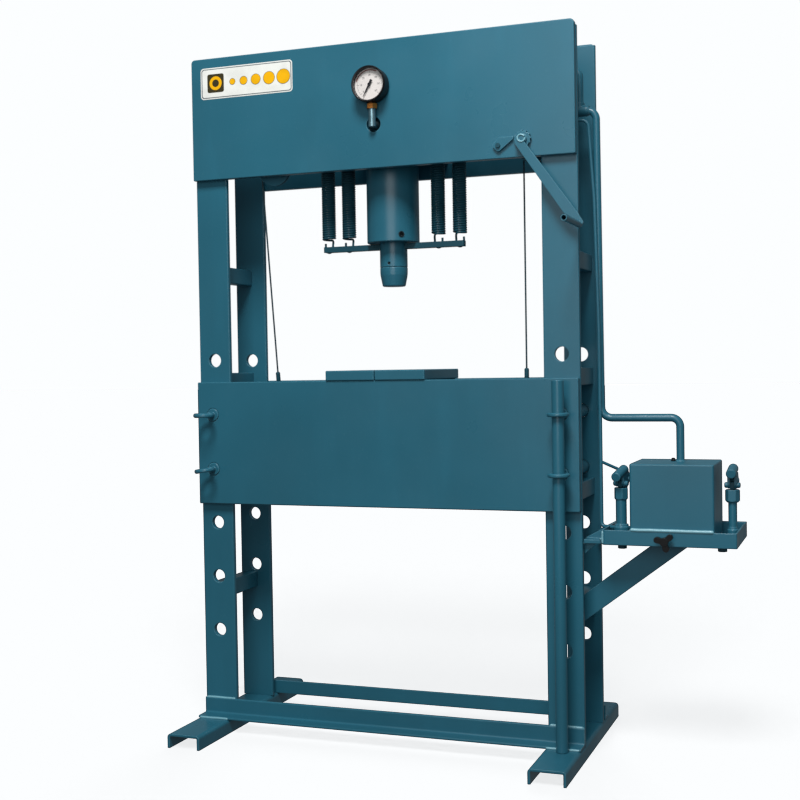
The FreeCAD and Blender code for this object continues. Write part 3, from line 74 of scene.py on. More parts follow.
PETROL = (41, 103, 123)
PETROL_EDGE_HIGHLIGHT = (112, 170, 190)
DUST = (84, 130, 144)
print("petrol blue as light:", [round(v, 3) for v in colour(PETROL)])

# %% [markdown]
# ## Small tools for shaders
# A shader is a graph. It could be drawn by hand in the shader editor; written as code it can be
# read and changed like the rest. `Graph` keeps that writing short: `node` adds a node and fills
# its sockets, either with a number or with the output of another node. It serves materials and
# the world alike.


# %% Nodes and links
class Graph:
    """The node tree of a material, or of the world, with short calls."""

    def __init__(self, owner, output_kind):
        owner.use_nodes = True
        self.owner, self.tree = owner, owner.node_tree
        self.tree.nodes.clear()
        self.output = self.node(output_kind)

    def node(self, kind, settings=None, **inputs):
        """New node; settings are its attributes, inputs its sockets, spaces as underscores."""
        made = self.tree.nodes.new(kind)
        for key, value in (settings or {}).items():
            setattr(made, key, value)
        for key, value in inputs.items():
            self.feed(made.inputs[key.replace("_", " ")], value)
        return made

    def feed(self, socket, value):
        """Links an output to the socket, or writes a number there."""
        if isinstance(value, bpy.types.NodeSocket):
            self.tree.links.new(value, socket)
        else:
            socket.default_value = value

    def maths(self, operation, first, second):
        """One arithmetic step."""
        made = self.node("ShaderNodeMath", {"operation": operation})
        self.feed(made.inputs[0], first)
        self.feed(made.inputs[1], second)
        return made.outputs[0]

    def between(self, share, first, second):
        """Shader between two shaders; a share of 0 is all the first."""
        made = self.node("ShaderNodeMixShader")
        for place, value in enumerate((share, first.outputs[0], second.outputs[0])):
            self.feed(made.inputs[place], value)
        return made

    def close(self, shader):
        """Joins the last shader to the output and returns the material or the world."""
        self.tree.links.new(shader.outputs[0], self.output.inputs["Surface"])
        return self.owner


print("graph tools:", [name for name in vars(Graph) if not name.startswith("_")])

# %% [markdown]
# ## Patterns on a surface
# No real finish is even. Noise makes patches and grain, a band turns it into a share from 0 to
# 1, and that share mixes two colours or moves the roughness. All of it reads Object coordinates,
# so that a pattern stays on the steel when a piece moves; an image would need a map for each of
# the sixty nodes.


# %% Patterns
class Finish(Graph):
    """A material's graph, with patterns in Object coordinates."""

    def __init__(self, name):
        super().__init__(bpy.data.materials.new(name), "ShaderNodeOutputMaterial")
        self.place = self.node("ShaderNodeTexCoord").outputs["Object"]

    def noise(self, scale, detail=3.0, roughness=0.5, place=None):
        """Noise from 0 to 1 at so many cells per metre."""
        made = self.node("ShaderNodeTexNoise", Scale=scale, Detail=detail, Roughness=roughness)
        self.feed(made.inputs["Vector"], place or self.place)
        return made.outputs["Fac"]

    def stretched(self, x, y, z):
        """Object coordinates times a factor per axis: a small one makes the noise long there."""
        return self.node("ShaderNodeMapping", Vector=self.place, Scale=(x, y, z)).outputs[0]

    def band(self, value, low, high, to_low=0.0, to_high=1.0):
        """Maps low..high to to_low..to_high, clamped, smooth at both ends."""
        made = self.node("ShaderNodeMapRange", {"interpolation_type": "SMOOTHSTEP"}, Value=value)
        limits = {"From Min": low, "From Max": high, "To Min": to_low, "To Max": to_high}
        for name, number in limits.items():
            made.inputs[name].default_value = number
        return made.outputs["Result"]

    def mix(self, share, first, second):
        """Colour between first and second."""
        made = self.node("ShaderNodeMix", {"data_type": "RGBA"})
        for place, value in ((0, share), (6, first), (7, second)):
            self.feed(made.inputs[place], value)
        return made.outputs[2]

    def edges(self, radius):
        """0 on a flat to 0.29 on a square edge: 1 - n.b, b the normal rounded by the radius."""
        rounded = self.node("ShaderNodeBevel", {"samples": 4}, Radius=radius).outputs["Normal"]
        flat = self.node("ShaderNodeNewGeometry").outputs["Normal"]
        dot = self.node("ShaderNodeVectorMath", {"operation": "DOT_PRODUCT"})
        self.feed(dot.inputs[0], rounded)
        self.feed(dot.inputs[1], flat)
        return self.maths("SUBTRACT", 1.0, dot.outputs["Value"]), rounded

    def bump(self, height, strength, distance, normal):
        """The normal, tilted by the slope of a height."""
        made = self.node("ShaderNodeBump", Height=height, Strength=strength, Distance=distance)
        self.feed(made.inputs["Normal"], normal)
        return made.outputs["Normal"]

    def surface(self, **inputs):
        """Closes the graph with one Principled shader."""
        return self.close(self.node("ShaderNodeBsdfPrincipled", **inputs))


print("patterns:", [name for name in vars(Finish) if not name.startswith("_")])

# %% [markdown]
# ## Paint
# The whole machine is sprayed in one petrol-blue enamel, springs and ram too. One flat colour
# would look like plastic. A sprayed coat is thicker in places, slightly wavy (orange peel), a
# little dusty, and its sharp edges are painted brighter: partly paint scuffed thin, partly a
# painted highlight where an edge catches the light. The bevel node compares the normal with one
# rounded over a few millimetres, and so finds those edges on any mesh. Noise is counted in cells
# per metre: 2.3 gives patches wider than a hand, 160 specks of dust, 420 peel.


# %% Paint
def make_paint(name, base, edge, roughness=0.31, edge_highlight_share=0.75, bevel=0.003, specular=0.4):
    """Enamel: wide soft patches, faint runs, dust, edges scuffed and with a painted highlight, fine
    orange peel.
    """
    g = Finish(name)
    patches = g.band(g.noise(2.3, 4.0), 0.3, 0.7)
    runs = g.noise(9.0, 4.0, 0.6, g.stretched(1.0, 1.0, 0.18))
    specks = g.band(g.noise(160.0, 2.0), 0.62, 0.75, 0.0, 0.08)
    edge_share, rounded = g.edges(bevel)
    uneven = g.band(g.noise(38.0), 0.25, 0.6, 0.5, 1.0)
    # The bright edge colour is partly paint scuffed thin and partly a painted highlight.
    scuffed_and_highlit = g.maths("MULTIPLY", g.band(edge_share, 0.02, 0.25, 0.0, edge_highlight_share), uneven)
    coat = g.mix(patches, colour(base), colour(shaded(base, 0.93)))
    coat = g.mix(g.band(runs, 0.45, 0.8, 0.0, 0.12), coat, colour(shaded(base, 1.25)))
    coat = g.mix(specks, coat, colour(DUST))
    coat = g.mix(scuffed_and_highlit, coat, colour(edge))
    gloss = g.band(g.noise(5.0, 5.0), 0.25, 0.75, roughness - 0.05, roughness + 0.09)
    peel = g.bump(g.noise(420.0, 2.0), 0.12, 0.0006, rounded)
    return g.surface(
        Base_Color=coat, Roughness=gloss, Normal=peel, Specular_IOR_Level=specular, IOR=1.5
    )


paint = make_paint("press_paint", PETROL, PETROL_EDGE_HIGHLIGHT)
# A darker copy of the enamel is painted shade: springs, spring bar, plungers, bolts and ferrules
# sit in shadow.
shaded_paint = make_paint("press_paint_dark", (24, 72, 86), (62, 108, 120), 0.45, 0.4, 0.001, 0.25)
# A lighter copy of the enamel on the weld beads is a painted highlight: the bright line a rounded
# bead catches.
weld_paint = make_paint("weld_paint", (122, 176, 190), (170, 212, 222), 0.24, 0.8, 0.0012, 0.7)
print("paints:", [m.name for m in (paint, shaded_paint, weld_paint)])

# %% [markdown]
# ## Metals
# Few pieces stay bare: the stem and the brass nut of the gauge, the plug and the grub screw.
# Turned metal has a fine grain, some tarnish, and edges painted brighter, a painted highlight.
# The grain drives roughness and bump together, so that the scratches that show are also the ones
# that spread the light.


# %% Metals
def make_metal(name, base, tarnished, roughness, metallic):
    """Bare or plated metal: fine grain, darker in patches, a painted highlight on the edges."""
    g = Finish(name)
    scratches = g.noise(900.0, 2.0, 0.6)
    tarnish = g.band(g.noise(24.0, 4.0), 0.42, 0.72)
    edge_share, rounded = g.edges(0.0012)
    tone = g.mix(tarnish, colour(base), colour(tarnished))
    # Edges painted lighter than the base: a painted highlight.
    tone = g.mix(g.band(edge_share, 0.05, 0.4, 0.0, 0.5), tone, colour(shaded(base, 1.35)))
    rough = g.band(scratches, 0.3, 0.7, roughness - 0.06, roughness + 0.12)
    normal = g.bump(scratches, 0.1, 0.0004, rounded)
    return g.surface(Base_Color=tone, Metallic=metallic, Roughness=rough, Normal=normal)


dark_steel = make_metal("dark_steel", (30, 46, 52), (14, 24, 28), 0.42, 0.5)
plated_steel = make_metal("plated_steel", (128, 160, 170), (84, 116, 126), 0.34, 0.85)
brass = make_metal("aged_brass", (202, 128, 58), (70, 46, 26), 0.36, 0.75)
print("metals:", [m.name for m in (dark_steel, plated_steel, brass)])

# %% [markdown]
# ## Plastic and print
# The knob and the gauge's case are moulded in black. The dial is a white card, and its ink and
# the print of the sign are thin films. All of them are smooth with a faint grain and have a
# painted highlight that makes their edges a little paler, so one recipe makes them all.


# %% Plastic and print
def make_plastic(name, base, roughness, speck=0.25):
    """Moulded plastic or print with a faint grain, and a painted highlight that pales its edges."""
    g = Finish(name)
    grain = g.noise(700.0, 2.0)
    edge_share, rounded = g.edges(0.001)
    # A paler tone on the edges: a painted highlight.
    highlit_edge_tone = [min(255, channel + 20) for channel in base]
    tone = g.mix(g.band(g.noise(30.0), 0.35, 0.7), colour(base), colour(shaded(base, 1 - speck)))
    tone = g.mix(g.band(edge_share, 0.05, 0.4, 0.0, 0.25), tone, colour(highlit_edge_tone))
    rough = g.band(grain, 0.3, 0.7, roughness - 0.04, roughness + 0.08)
    normal = g.bump(grain, 0.15, 0.0003, rounded)
    return g.surface(Base_Color=tone, Roughness=rough, Normal=normal, Specular_IOR_Level=0.3)


black = make_plastic("black_plastic", (3, 3, 6), 0.42)
card = make_plastic("dial_card", (241, 230, 225), 0.6, 0.03)
ink = make_plastic("dial_ink", (74, 74, 78), 0.5)
# Warm ink that is partly print and partly painted shade from the bezel's reflection.
warm_ink_and_shade = make_plastic("dial_warm_ink", (158, 104, 98), 0.5)
needle_black = make_plastic("needle_black", (22, 20, 24), 0.45)
sign_white = make_plastic("sign_white", (236, 236, 230), 0.3, 0.04)
sign_amber = make_plastic("sign_amber", (243, 180, 12), 0.3, 0.05)
sign_dark = make_plastic("sign_olive", (58, 52, 30), 0.35, 0.1)
sign_grey = make_plastic("sign_grey", (96, 104, 108), 0.35, 0.1)
print("plastic and card:", black.name, card.name)
print("prints:", [m.name for m in (ink, warm_ink_and_shade, sign_white, sign_amber, sign_dark, sign_grey)])

# %% [markdown]
# ## Glass and rope
# The gauge's glass is a flat pane. A shader that bends light would need its exact thickness and
# would darken the dial, so this one lets light straight through and mirrors more at a slant. The
# rope's wires are dark with grease in their grooves, and a painted highlight brightens them where
# the strands meet.


# %% Glass and rope
def make_glass(name):
    """Flat clear glass: straight through, plus a mirror share that grows at a slant."""
    g = Finish(name)
    smear = g.band(g.noise(22.0, 4.0), 0.45, 0.75, 0.03, 0.12)
    shiny = g.node("ShaderNodeBsdfGlossy", Roughness=smear, Color=(1, 1, 1, 1))
    clear = g.node("ShaderNodeBsdfTransparent", Color=(0.97, 0.98, 0.98, 1))
    facing = g.node("ShaderNodeLayerWeight", Blend=0.5).outputs["Facing"]
    return g.close(g.between(g.band(facing, 0.45, 1.0, 0.03, 0.5), clear, shiny))


def make_rope(name):
    """Greased steel rope: dark where dirt sits, with a painted highlight where strands meet."""
    g = Finish(name)
    dirt = g.band(g.noise(240.0, 3.0), 0.35, 0.65)
    edge_share, rounded = g.edges(0.0008)
    tone = g.mix(dirt, colour((20, 44, 52)), colour((42, 72, 82)))
    # Brighter where the surface turns between strands: a painted highlight.
    tone = g.mix(g.band(edge_share, 0.03, 0.3, 0.0, 0.5), tone, colour((96, 128, 136)))
    rough = g.band(g.noise(60.0), 0.3, 0.7, 0.4, 0.6)
    return g.surface(Base_Color=tone, Metallic=0.35, Roughness=rough, Normal=rounded)


glass = make_glass("clear_glass")
rope = make_rope("wire_rope")
print("glass and rope:", glass.name, rope.name)

# %% [markdown]
# ## The steel gets its coats
# Everything that was painted after it was put together shares one coat. The few pieces fitted
# later keep their own: gauge, knob, plugs, plungers and the small bolts. Plungers, bolts, ferrules
# and the spring bar take a darker copy of the enamel: painted shade, as they sit in shadow.

# %% Materials onto the nodes
# The darker copy of the enamel below is painted shade for pieces in shadow.
OWN_MATERIAL = {
    "cable_left": rope,
    "cable_right": rope,
    "cable_ferrules": shaded_paint,
    "gauge_case": black,
    "gauge_dial": card,
    "gauge_needle": needle_black,
    "gauge_glass": glass,
    "gauge_nut": brass,
    "gauge_stem": plated_steel,
    "release_knob": black,
    "filler_plug": black,
    "bolt_heads": shaded_paint,
    "cylinder_plug": dark_steel,
    "pump_plunger_left": shaded_paint,
    "pump_plunger_right": shaded_paint,
    "spring_bar": shaded_paint,
}
for name, piece in nodes.items():
    piece.data.materials.clear()
    piece.data.materials.append(OWN_MATERIAL.get(name, paint))
print(len(nodes), "nodes coated,", len(OWN_MATERIAL), "of them in materials of their own")

# %% [markdown]
# ## A profile along a path
# A wire, a rope and a weld bead are all a round profile carried along a path. The profile is
# given as a radius for every row and every angle, so one tool makes them all. A curve with a
# bevel would be quicker, but it allows no lobes and no ripples.


# %% Tubes
def path_frame(path):
    """Normal and second normal of every row of points; the normal is carried on untwisted."""
    tangent = np.gradient(path, axis=0)
    tangent /= np.linalg.norm(tangent, axis=1, keepdims=True)
    normal = np.zeros_like(path)
    normal[0] = np.cross(tangent[0], np.eye(3)[np.argmin(np.abs(tangent[0]))])
    for row in range(1, len(path)):
        kept = normal[row - 1] - tangent[row] * normal[row - 1].dot(tangent[row])
        normal[row] = kept / np.linalg.norm(kept)
    normal[0] /= np.linalg.norm(normal[0])
    return normal, np.cross(tangent, normal)


def wrapped(rows, sides):
    """Triangles between rows of points that close round, two for every four neighbours."""
    row, column = np.meshgrid(np.arange(rows - 1), np.arange(sides), indexing="ij")
    here, beside = row * sides + column, row * sides + (column + 1) % sides
    first = np.stack([here, beside, beside + sides], axis=-1).reshape(-1, 3)
    other = np.stack([here, beside + sides, here + sides], axis=-1).reshape(-1, 3)
    return [first, other]


def fan(hub, start, sides, backwards=False):
    """Triangles from a hub to the ring of points that begins at start."""
    around = np.arange(sides)
    pair = [start + around, start + (around + 1) % sides]
    return np.stack([np.full(sides, hub), *(pair[::-1] if backwards else pair)], axis=-1)


def tube(path, radius, sides):
    """Closed tube: p(t) + r(t, a) (n cos a + b sin a), with a fan of triangles on each end."""
    path = np.asarray(path, float)
    normal, second = (axis[:, None] for axis in path_frame(path))
    angle = np.linspace(0, 2 * np.pi, sides, endpoint=False)[None, :, None]
    reach = np.broadcast_to(radius, (len(path), sides))[:, :, None]
    spokes = normal * np.cos(angle) + second * np.sin(angle)
    points = (path[:, None] + spokes * reach).reshape(-1, 3)
    count = len(points)
    ends = [fan(count, 0, sides, backwards=True), fan(count + 1, count - sides, sides)]
    return np.vstack([points, path[:1], path[-1:]]), np.vstack(wrapped(len(path), sides) + ends)


rod_points, rod_faces = tube([(0, 0, 0), (0, 0, 1)], 0.1, 6)
print("a six-sided rod:", len(rod_points), "points,", len(rod_faces), "triangles")

# %% [markdown]
# ## Thin plates
# Print and foil are plates a fraction of a millimetre thick. An outline in the XZ plane is set
# at two depths, with a fan from its middle on each side. A flat face would be lighter still, but
# a closed plate has a real inside and outside, and so a mesh that others can use.


# %% Slabs
def slab(outline, y_front, y_back):
    """Thin plate: the outline at both depths, a fan from its middle on each side."""
    outline = np.asarray(outline, float)
    count = len(outline)
    rows = np.vstack([outline, outline.mean(axis=0)])
    points = np.vstack([np.insert(rows, 1, y, axis=1) for y in (y_front, y_back)])
    around, second = np.arange(count), count + 1
    following = (around + 1) % count
    sides = [
        np.stack([following, around, around + second], axis=-1),
        np.stack([following, around + second, following + second], axis=-1),
    ]
    fans = [fan(count, 0, count), fan(second + count, second, count, backwards=True)]
    return points, np.vstack(fans + sides)


print("a square slab:", len(slab([(0, 0), (1, 0), (1, 1), (0, 1)], -1.0, 0.0)[1]), "triangles")

# %% [markdown]
# ## From shells to an object
# Every new piece is a few closed shells of triangles. Before they become one mesh, each is
# checked by its volume: a shell that is inside out has a negative one, and is turned round.


# %% Shells into an object
def outward(shell):
    """The shell turned so that its volume, the sum of p.(q x r) / 6, is positive."""
    points, faces = shell
    p, q, r = (points[faces[:, corner]] for corner in range(3))
    volume = np.einsum("ij,ij->i", p, np.cross(q, r)).sum() / 6
    return (points, faces if volume > 0 else faces[:, ::-1])


def mesh_piece(name, shells, material, body="frame", smooth=True):
    """One object from many shells, riding on a body and taking the material it is given."""
    shells = [outward(shell) for shell in shells]
    starts = np.cumsum([0] + [len(points) for points, _ in shells[:-1]])
    every_point = np.vstack([points for points, _ in shells])
    every_face = np.vstack([faces + start for (_, faces), start in zip(shells, starts)])
    mesh = bpy.data.meshes.new(name)
    mesh.from_pydata(every_point.tolist(), [], every_face.tolist())
    mesh.polygons.foreach_set("use_smooth", np.full(len(mesh.polygons), smooth))
    mesh.materials.append(material)
    piece = bpy.data.objects.new(name, mesh)
    bpy.context.scene.collection.objects.link(piece)
    if body:
        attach(piece, body)
    print(name, "has", len(every_face), "triangles in", len(shells), "shells")
    return piece


def path_length(path):
    """Length of a row of points."""
    return float(np.linalg.norm(np.diff(path, axis=0), axis=1).sum())


print("length of a unit step:", path_length(np.array([(0, 0, 0), (0, 0, 1)])))

# %% [markdown]
# ## Return springs
# Four tension springs pull the ram up. Each is one wire: a hook round the bar's pin, 31 close
# turns, and a hook at the top. The model has them as exact but very heavy solids, so a lighter
# mesh of such a wire stands for them: (R cos a, R sin a, p a / 2 pi) for the coil, half circles
# with straight legs for the hooks, and a Hermite curve from one into the other.

# %% Wire of a spring
COIL_LOW, COIL_HIGH, COIL_RADIUS, TURNS = 1.446, 1.652, 0.0175, 31
WIRE, WIRE_SIDES, STEPS_PER_TURN = 0.0032, 12, 32
BAR_MIDDLE, HANGER_MIDDLE = 1.416, 1.682
HOOK, HOOK_OFFSET, HOOK_TIP = 0.0115, 0.0032, 0.019
LEG_START, COIL_PULL, LEG_PULL = 0.020, 0.026, 0.024
BEND_ROWS, LEG_ROWS = 16, 5


def hermite(start, start_pull, end, end_pull, count):
    """(2t^3-3t^2+1) p + (t^3-2t^2+t) m + (3t^2-2t^3) q + (t^3-t^2) n, t from 0 to 1."""
    t = np.linspace(0, 1, count)[:, None]
    from_start = (2 * t**3 - 3 * t**2 + 1) * start + (t**3 - 2 * t**2 + t) * start_pull
    return from_start + (3 * t**2 - 2 * t**3) * end + (t**3 - t**2) * end_pull


def hook_path(coil_end, coil_tangent, side, direction, middle):
    """From the coil's end by a Hermite curve to the leg, then round the half circle and back."""
    leg_top = np.array([side * HOOK, 0, coil_end[2] + direction * LEG_START])
    leg_pull = np.array([0, 0, direction]) * LEG_PULL
    ease = hermite(coil_end, coil_tangent * COIL_PULL, leg_top, leg_pull, BEND_ROWS)
    a = np.linspace(0, np.pi, BEND_ROWS)
    height = middle - direction * HOOK_OFFSET + direction * HOOK * np.sin(a)
    bend = np.stack([side * HOOK * np.cos(a), 0 * a, height], axis=-1)
    tip = np.array([-side * HOOK, 0, middle - direction * HOOK_TIP])
    leg = np.linspace(leg_top, bend[0], LEG_ROWS)[1:-1]
    return np.vstack([ease[1:], leg, bend, np.linspace(bend[-1], tip, LEG_ROWS)[1:]])


def spring_path():
    """Lower hook, coil and upper hook of a spring on the axis X = Y = 0."""
    angle = np.linspace(0, 2 * np.pi * TURNS, TURNS * STEPS_PER_TURN + 1) - np.pi / 2
    height = np.linspace(COIL_LOW, COIL_HIGH, len(angle))
    coil = np.stack([COIL_RADIUS * np.cos(angle), COIL_RADIUS * np.sin(angle), height], axis=-1)
    tangent = np.array([1.0, 0, 0])
    low = hook_path(coil[0], -tangent, -1, -1, BAR_MIDDLE)
    high = hook_path(coil[-1], tangent, 1, 1, HANGER_MIDDLE)
    return np.vstack([low[::-1], coil, high])


wire_path = spring_path()
print("wire in each spring:", round(path_length(wire_path), 3), "m")

# %% [markdown]
# ## Four springs in a row
# The springs hang in pairs at both sides of the cylinder. Those on the left are turned by half a
# turn, so that their hooks mirror the ones on the right. All four go into one mesh.

# %% Return springs
SPRING_X = (-0.203, -0.1385, 0.1385, 0.203)
wires = []
for x in SPRING_X:
    half_turn = np.array([-1, -1, 1]) if x < 0 else 1
    wires.append(tube(wire_path * half_turn + np.array([x, 0, 0]), WIRE, WIRE_SIDES))
# The springs take the darker copy of the enamel: painted shade under the top plate.
springs = mesh_piece("return_springs_fine", wires, shaded_paint, body=None)
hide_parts("return_springs")

# %% [markdown]
# ## Wire ropes
# Two steel ropes lift the bed. Both stand taut: the right one goes straight down from the drum,
# the left one over a pulley. A route is put together from straight runs, arcs round the drum and
# one rounded corner, all at the same small step, so that the lay stays even along the rope.

# %% Routes of the ropes
ROPE_STEP = 0.002


def arc(centre, radius, start_degrees, end_degrees, y):
    """Points of an arc round an axis along Y, at steps of the rope's length."""
    sweep = abs(math.radians(end_degrees - start_degrees))
    count = max(3, int(sweep * radius / ROPE_STEP) + 1)
    a = np.radians(np.linspace(start_degrees, end_degrees, count))
    x, z = centre[0] + radius * np.cos(a), centre[1] + radius * np.sin(a)
    return np.stack([x, np.full(count, y), z], axis=-1)


def run(start, end):
    """Points of a straight run, without its two ends."""
    count = int(np.linalg.norm(end - start) / ROPE_STEP)
    return start + (end - start) * np.linspace(0, 1, count)[1:-1, None]


def turned_corner(before, corner, after, radius):
    """Arc round a route's corner: its centre is on the bisector, r / sin(half angle) away."""
    back, forth = before - corner, after - corner
    back, forth = back / np.linalg.norm(back), forth / np.linalg.norm(forth)
    half = math.acos(float(back.dot(forth))) / 2
    middle_way = (back + forth) / np.linalg.norm(back + forth)
    centre = corner + middle_way * radius / math.sin(half)
    start, end = (corner + way * radius / math.tan(half) for way in (back, forth))
    spoke_a, spoke_b = start - centre, end - centre
    sweep = math.pi - 2 * half
    t = np.linspace(0, 1, int(sweep * radius / ROPE_STEP) + 2)[:, None]
    spokes = np.sin((1 - t) * sweep) * spoke_a + np.sin(t * sweep) * spoke_b
    return centre + spokes / math.sin(sweep)


DRUM, DRUM_REACH, PULLEY_REACH = (0.431, 1.670), 0.038, 0.042
RIGHT_EYE = np.array([DRUM[0] - DRUM_REACH, 0.0, 1.058])
over_drum = arc(DRUM, DRUM_REACH, 180, -80, 0.0)
right_path = np.vstack([RIGHT_EYE, run(RIGHT_EYE, over_drum[0]), over_drum])

LEFT_X, LEFT_Y, SLOPE = -0.377, -0.095, math.radians(1.0)
LEFT_ANCHOR, ANCHOR_TO_EYE = np.array([LEFT_X, 0.0, 1.018]), 0.040
onto_drum = arc(DRUM, DRUM_REACH, 91, -80, LEFT_Y)
leaving = onto_drum[0]
corner = np.array([LEFT_X, LEFT_Y, leaving[2] - (leaving[0] - LEFT_X) * math.tan(SLOPE)])
uphill = (corner - LEFT_ANCHOR) / np.linalg.norm(corner - LEFT_ANCHOR)
left_eye = LEFT_ANCHOR + uphill * ANCHOR_TO_EYE
bend = turned_corner(left_eye, corner, leaving, PULLEY_REACH)
left_path = np.vstack([left_eye, run(left_eye, bend[0]), bend, run(bend[-1], leaving), onto_drum])
print("ropes:", [round(path_length(path), 3) for path in (left_path, right_path)], "m")

# %% [markdown]
# ## The lay of a rope
# A rope is six strands laid round a core; seen from outside that is one round profile with six
# lobes that turns as it goes along, which is far lighter than six separate strands:
# r = R (0.84 + 0.16 |cos 3(a - 2 pi s / L)|), s along the rope, L the lay.

# %% Wire ropes
ROPE_RADIUS, ROPE_LAY, ROPE_SIDES = 0.0025, 0.034, 24


def lobed(path):
    """The rope's radius for every row and angle; s is the length along the path."""
    s = np.concatenate([[0], np.cumsum(np.linalg.norm(np.diff(path, axis=0), axis=1))])
    angle = np.linspace(0, 2 * np.pi, ROPE_SIDES, endpoint=False)
    phase = 3 * (angle[None, :] - 2 * np.pi * s[:, None] / ROPE_LAY)
    return ROPE_RADIUS * (0.84 + 0.16 * np.abs(np.cos(phase)))


for name, path in (("cable_left", left_path), ("cable_right", right_path)):
    piece = mesh_piece(name + "_laid", [tube(path, lobed(path), ROPE_SIDES)], rope)
    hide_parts(name)

# %% [markdown]
# ## Weld beads
# The frame is welded, and the beads show where plates meet: thin rounded seams with the ripples
# of the weld pool. Each is a tube half sunk in its corner whose radius swells and shrinks every
# two millimetres, and which wanders a little, as a hand-held torch does. Bump alone would show
# the ripples, but not the seam's outline against the light.

# %% Shape of a bead
RIPPLE_LENGTH, RIPPLE_DEPTH = 0.0022, 0.12
TAPER_LENGTH, TAPERED = 0.003, 0.3
WANDER, WANDER_STEP = 0.0004, 0.02
BEAD_STEP, BEAD_SIDES = 0.0009, 10
dice = np.random.default_rng(11)


def rippled(path, radius):
    """Bead along a path: r = R (1 + 0.12 cos(2 pi s / 2.2 mm)), tapering over its two ends."""
    length = path_length(path)
    share = np.linspace(0, 1, len(path))
    knots = dice.normal(0, WANDER, (max(3, int(length / WANDER_STEP)), 3))
    place = np.linspace(0, 1, len(knots))
    offset = [np.interp(share, place, knots[:, axis]) for axis in range(3)]
    ripple = 1 + RIPPLE_DEPTH * np.cos(2 * np.pi * share * length / RIPPLE_LENGTH)
    taper = np.clip(np.minimum(share, 1 - share) * length / TAPER_LENGTH, TAPERED, 1.0)
    return tube(path + np.stack(offset, axis=-1), (radius * ripple * taper)[:, None], BEAD_SIDES)


def bead(start, end, radius):
    """Straight bead; its ends are given in millimetres, its radius in metres."""
    start, end = np.asarray(start, float) / 1000, np.asarray(end, float) / 1000
    count = max(10, int(np.linalg.norm(end - start) / BEAD_STEP))
    return rippled(start + (end - start) * np.linspace(0, 1, count)[:, None], radius)


def ring_bead(centre, reach, radius):
    """Bead round a shaft along Y, nearly closed; centre and reach are in millimetres."""
    a = np.linspace(0.3, 0.2 + 2 * np.pi, int(2 * np.pi * reach / (1000 * BEAD_STEP)))
    x, z = centre[0] + reach * np.cos(a), centre[2] + reach * np.sin(a)
    return rippled(np.stack([x, np.full(len(a), centre[1]), z], axis=-1) / 1000, radius)


print("ripples every", RIPPLE_LENGTH * 1000, "mm")

# %% [markdown]
# ## Where the beads run
# The tank stands on its tray in the longest bead, and the tray's arm is welded to the column.
# Each foot, base beam and column meet in a group that is mirrored from side to side, and every
# tie between the columns has a short bead above and below. A list of ends is enough for all.

# %% Weld beads
BEADS = [
    ((700, -125.6, 626.8), (918, -125.6, 626.8), 0.0048),
    ((699, -124, 625), (699, 62, 591), 0.002),
    ((622, -126, 600), (622, -110, 600), 0.003),
    ((627, -125.5, 587), (627, -125.5, 622), 0.003),
]
for side in (-1, 1):
    inner, outer = side * 477, side * 570
    BEADS += [
        ((inner, -128.5, 90.5), (outer, -128.5, 90.5), 0.0036),
        ((inner, -113, 42), (outer, -113, 42), 0.0034),
        ((inner, 128.5, 42), (outer, 128.5, 42), 0.0034),
        ((inner, -177, 42), (outer, -177, 42), 0.0034),
        ((side * 570.5, -128.5, 92), (side * 570.5, -128.5, 44), 0.003),
    ]
for near, far in ((-110, -74), (74, 110)):
    BEADS.append(((573.5, near, 586), (573.5, far, 586), 0.003))
TIE_EDGES = (1009, 1057, 1328, 1376, 696, 744, 384, 432)
for x in (-523.5, 523.5):
    BEADS += [((x - 30, -111.5, z), (x + 5, -111.5, z), 0.0025) for z in TIE_EDGES]
# The beads take the lighter copy of the enamel, a painted highlight.
mesh_piece("weld_beads", [bead(*one) for one in BEADS], weld_paint)
crank_bead = ring_bead((431, -172.3, 1670), 9.5, 0.0026)
mesh_piece("crank_weld", [crank_bead], weld_paint, body="winch")

# %% [markdown]
# ## Print on the gauge
# The dial carries a scale of plain numbers. Its marks are thin slabs laid on the card: the long
# ones at every ten, the short ones between. The warm arc at the upper left and the dark one at
# the lower right are bands between two radii. The warm arc is partly print and partly painted
# shade, where the bezel's reflection darkens the dial. A texture could carry this print too, but
# slabs stay sharp at any size.

# %% Gauge print
DIAL_X, DIAL_Z, CARD_FACE = 0.003, 1.850, -0.176
PRINT_FRONT, PRINT_BACK = CARD_FACE - 0.0002, CARD_FACE + 0.0001
ZERO, FULL = 225.0, -45.0
DIVISIONS, PER_NUMBER = 60, 10
LONG_MARK, SHORT_MARK, MARK_END = (0.0325, 0.0008), (0.0352, 0.0004), 0.0382
DARK_ARC, WARM_ARC = (-8, -44, 0.0392, 0.0406, 24), (165, 60, 0.0386, 0.0424, 40)


def scale_angle(value):
    """Angle of a value of the scale, from zero at the lower left to full at the lower right."""
    return ZERO + (FULL - ZERO) * value / DIVISIONS


def on_dial(radius, degrees):
    """Point at a radius and an angle, degrees counted from +X towards +Z."""
    angle = np.radians(degrees)
    return np.array([DIAL_X + radius * np.cos(angle), DIAL_Z + radius * np.sin(angle)])


def tick(degrees, inner, outer, width):
    """Narrow bar along the radius."""
    angle = math.radians(degrees)
    across = np.array([-math.sin(angle), math.cos(angle)]) * width / 2
    low, high = on_dial(inner, degrees), on_dial(outer, degrees)
    return slab([low - across, high - across, high + across, low + across], PRINT_FRONT, PRINT_BACK)


def arc_band(start, end, inner, outer, pieces):
    """Band between two radii, made of short slabs that share their ends."""
    stops = np.linspace(start, end, pieces + 1)
    made = []
    for low, high in zip(stops[:-1], stops[1:]):
        corners = [(inner, low), (outer, low), (outer, high), (inner, high)]
        made.append(slab([on_dial(*corner) for corner in corners], PRINT_FRONT, PRINT_BACK))
    return made


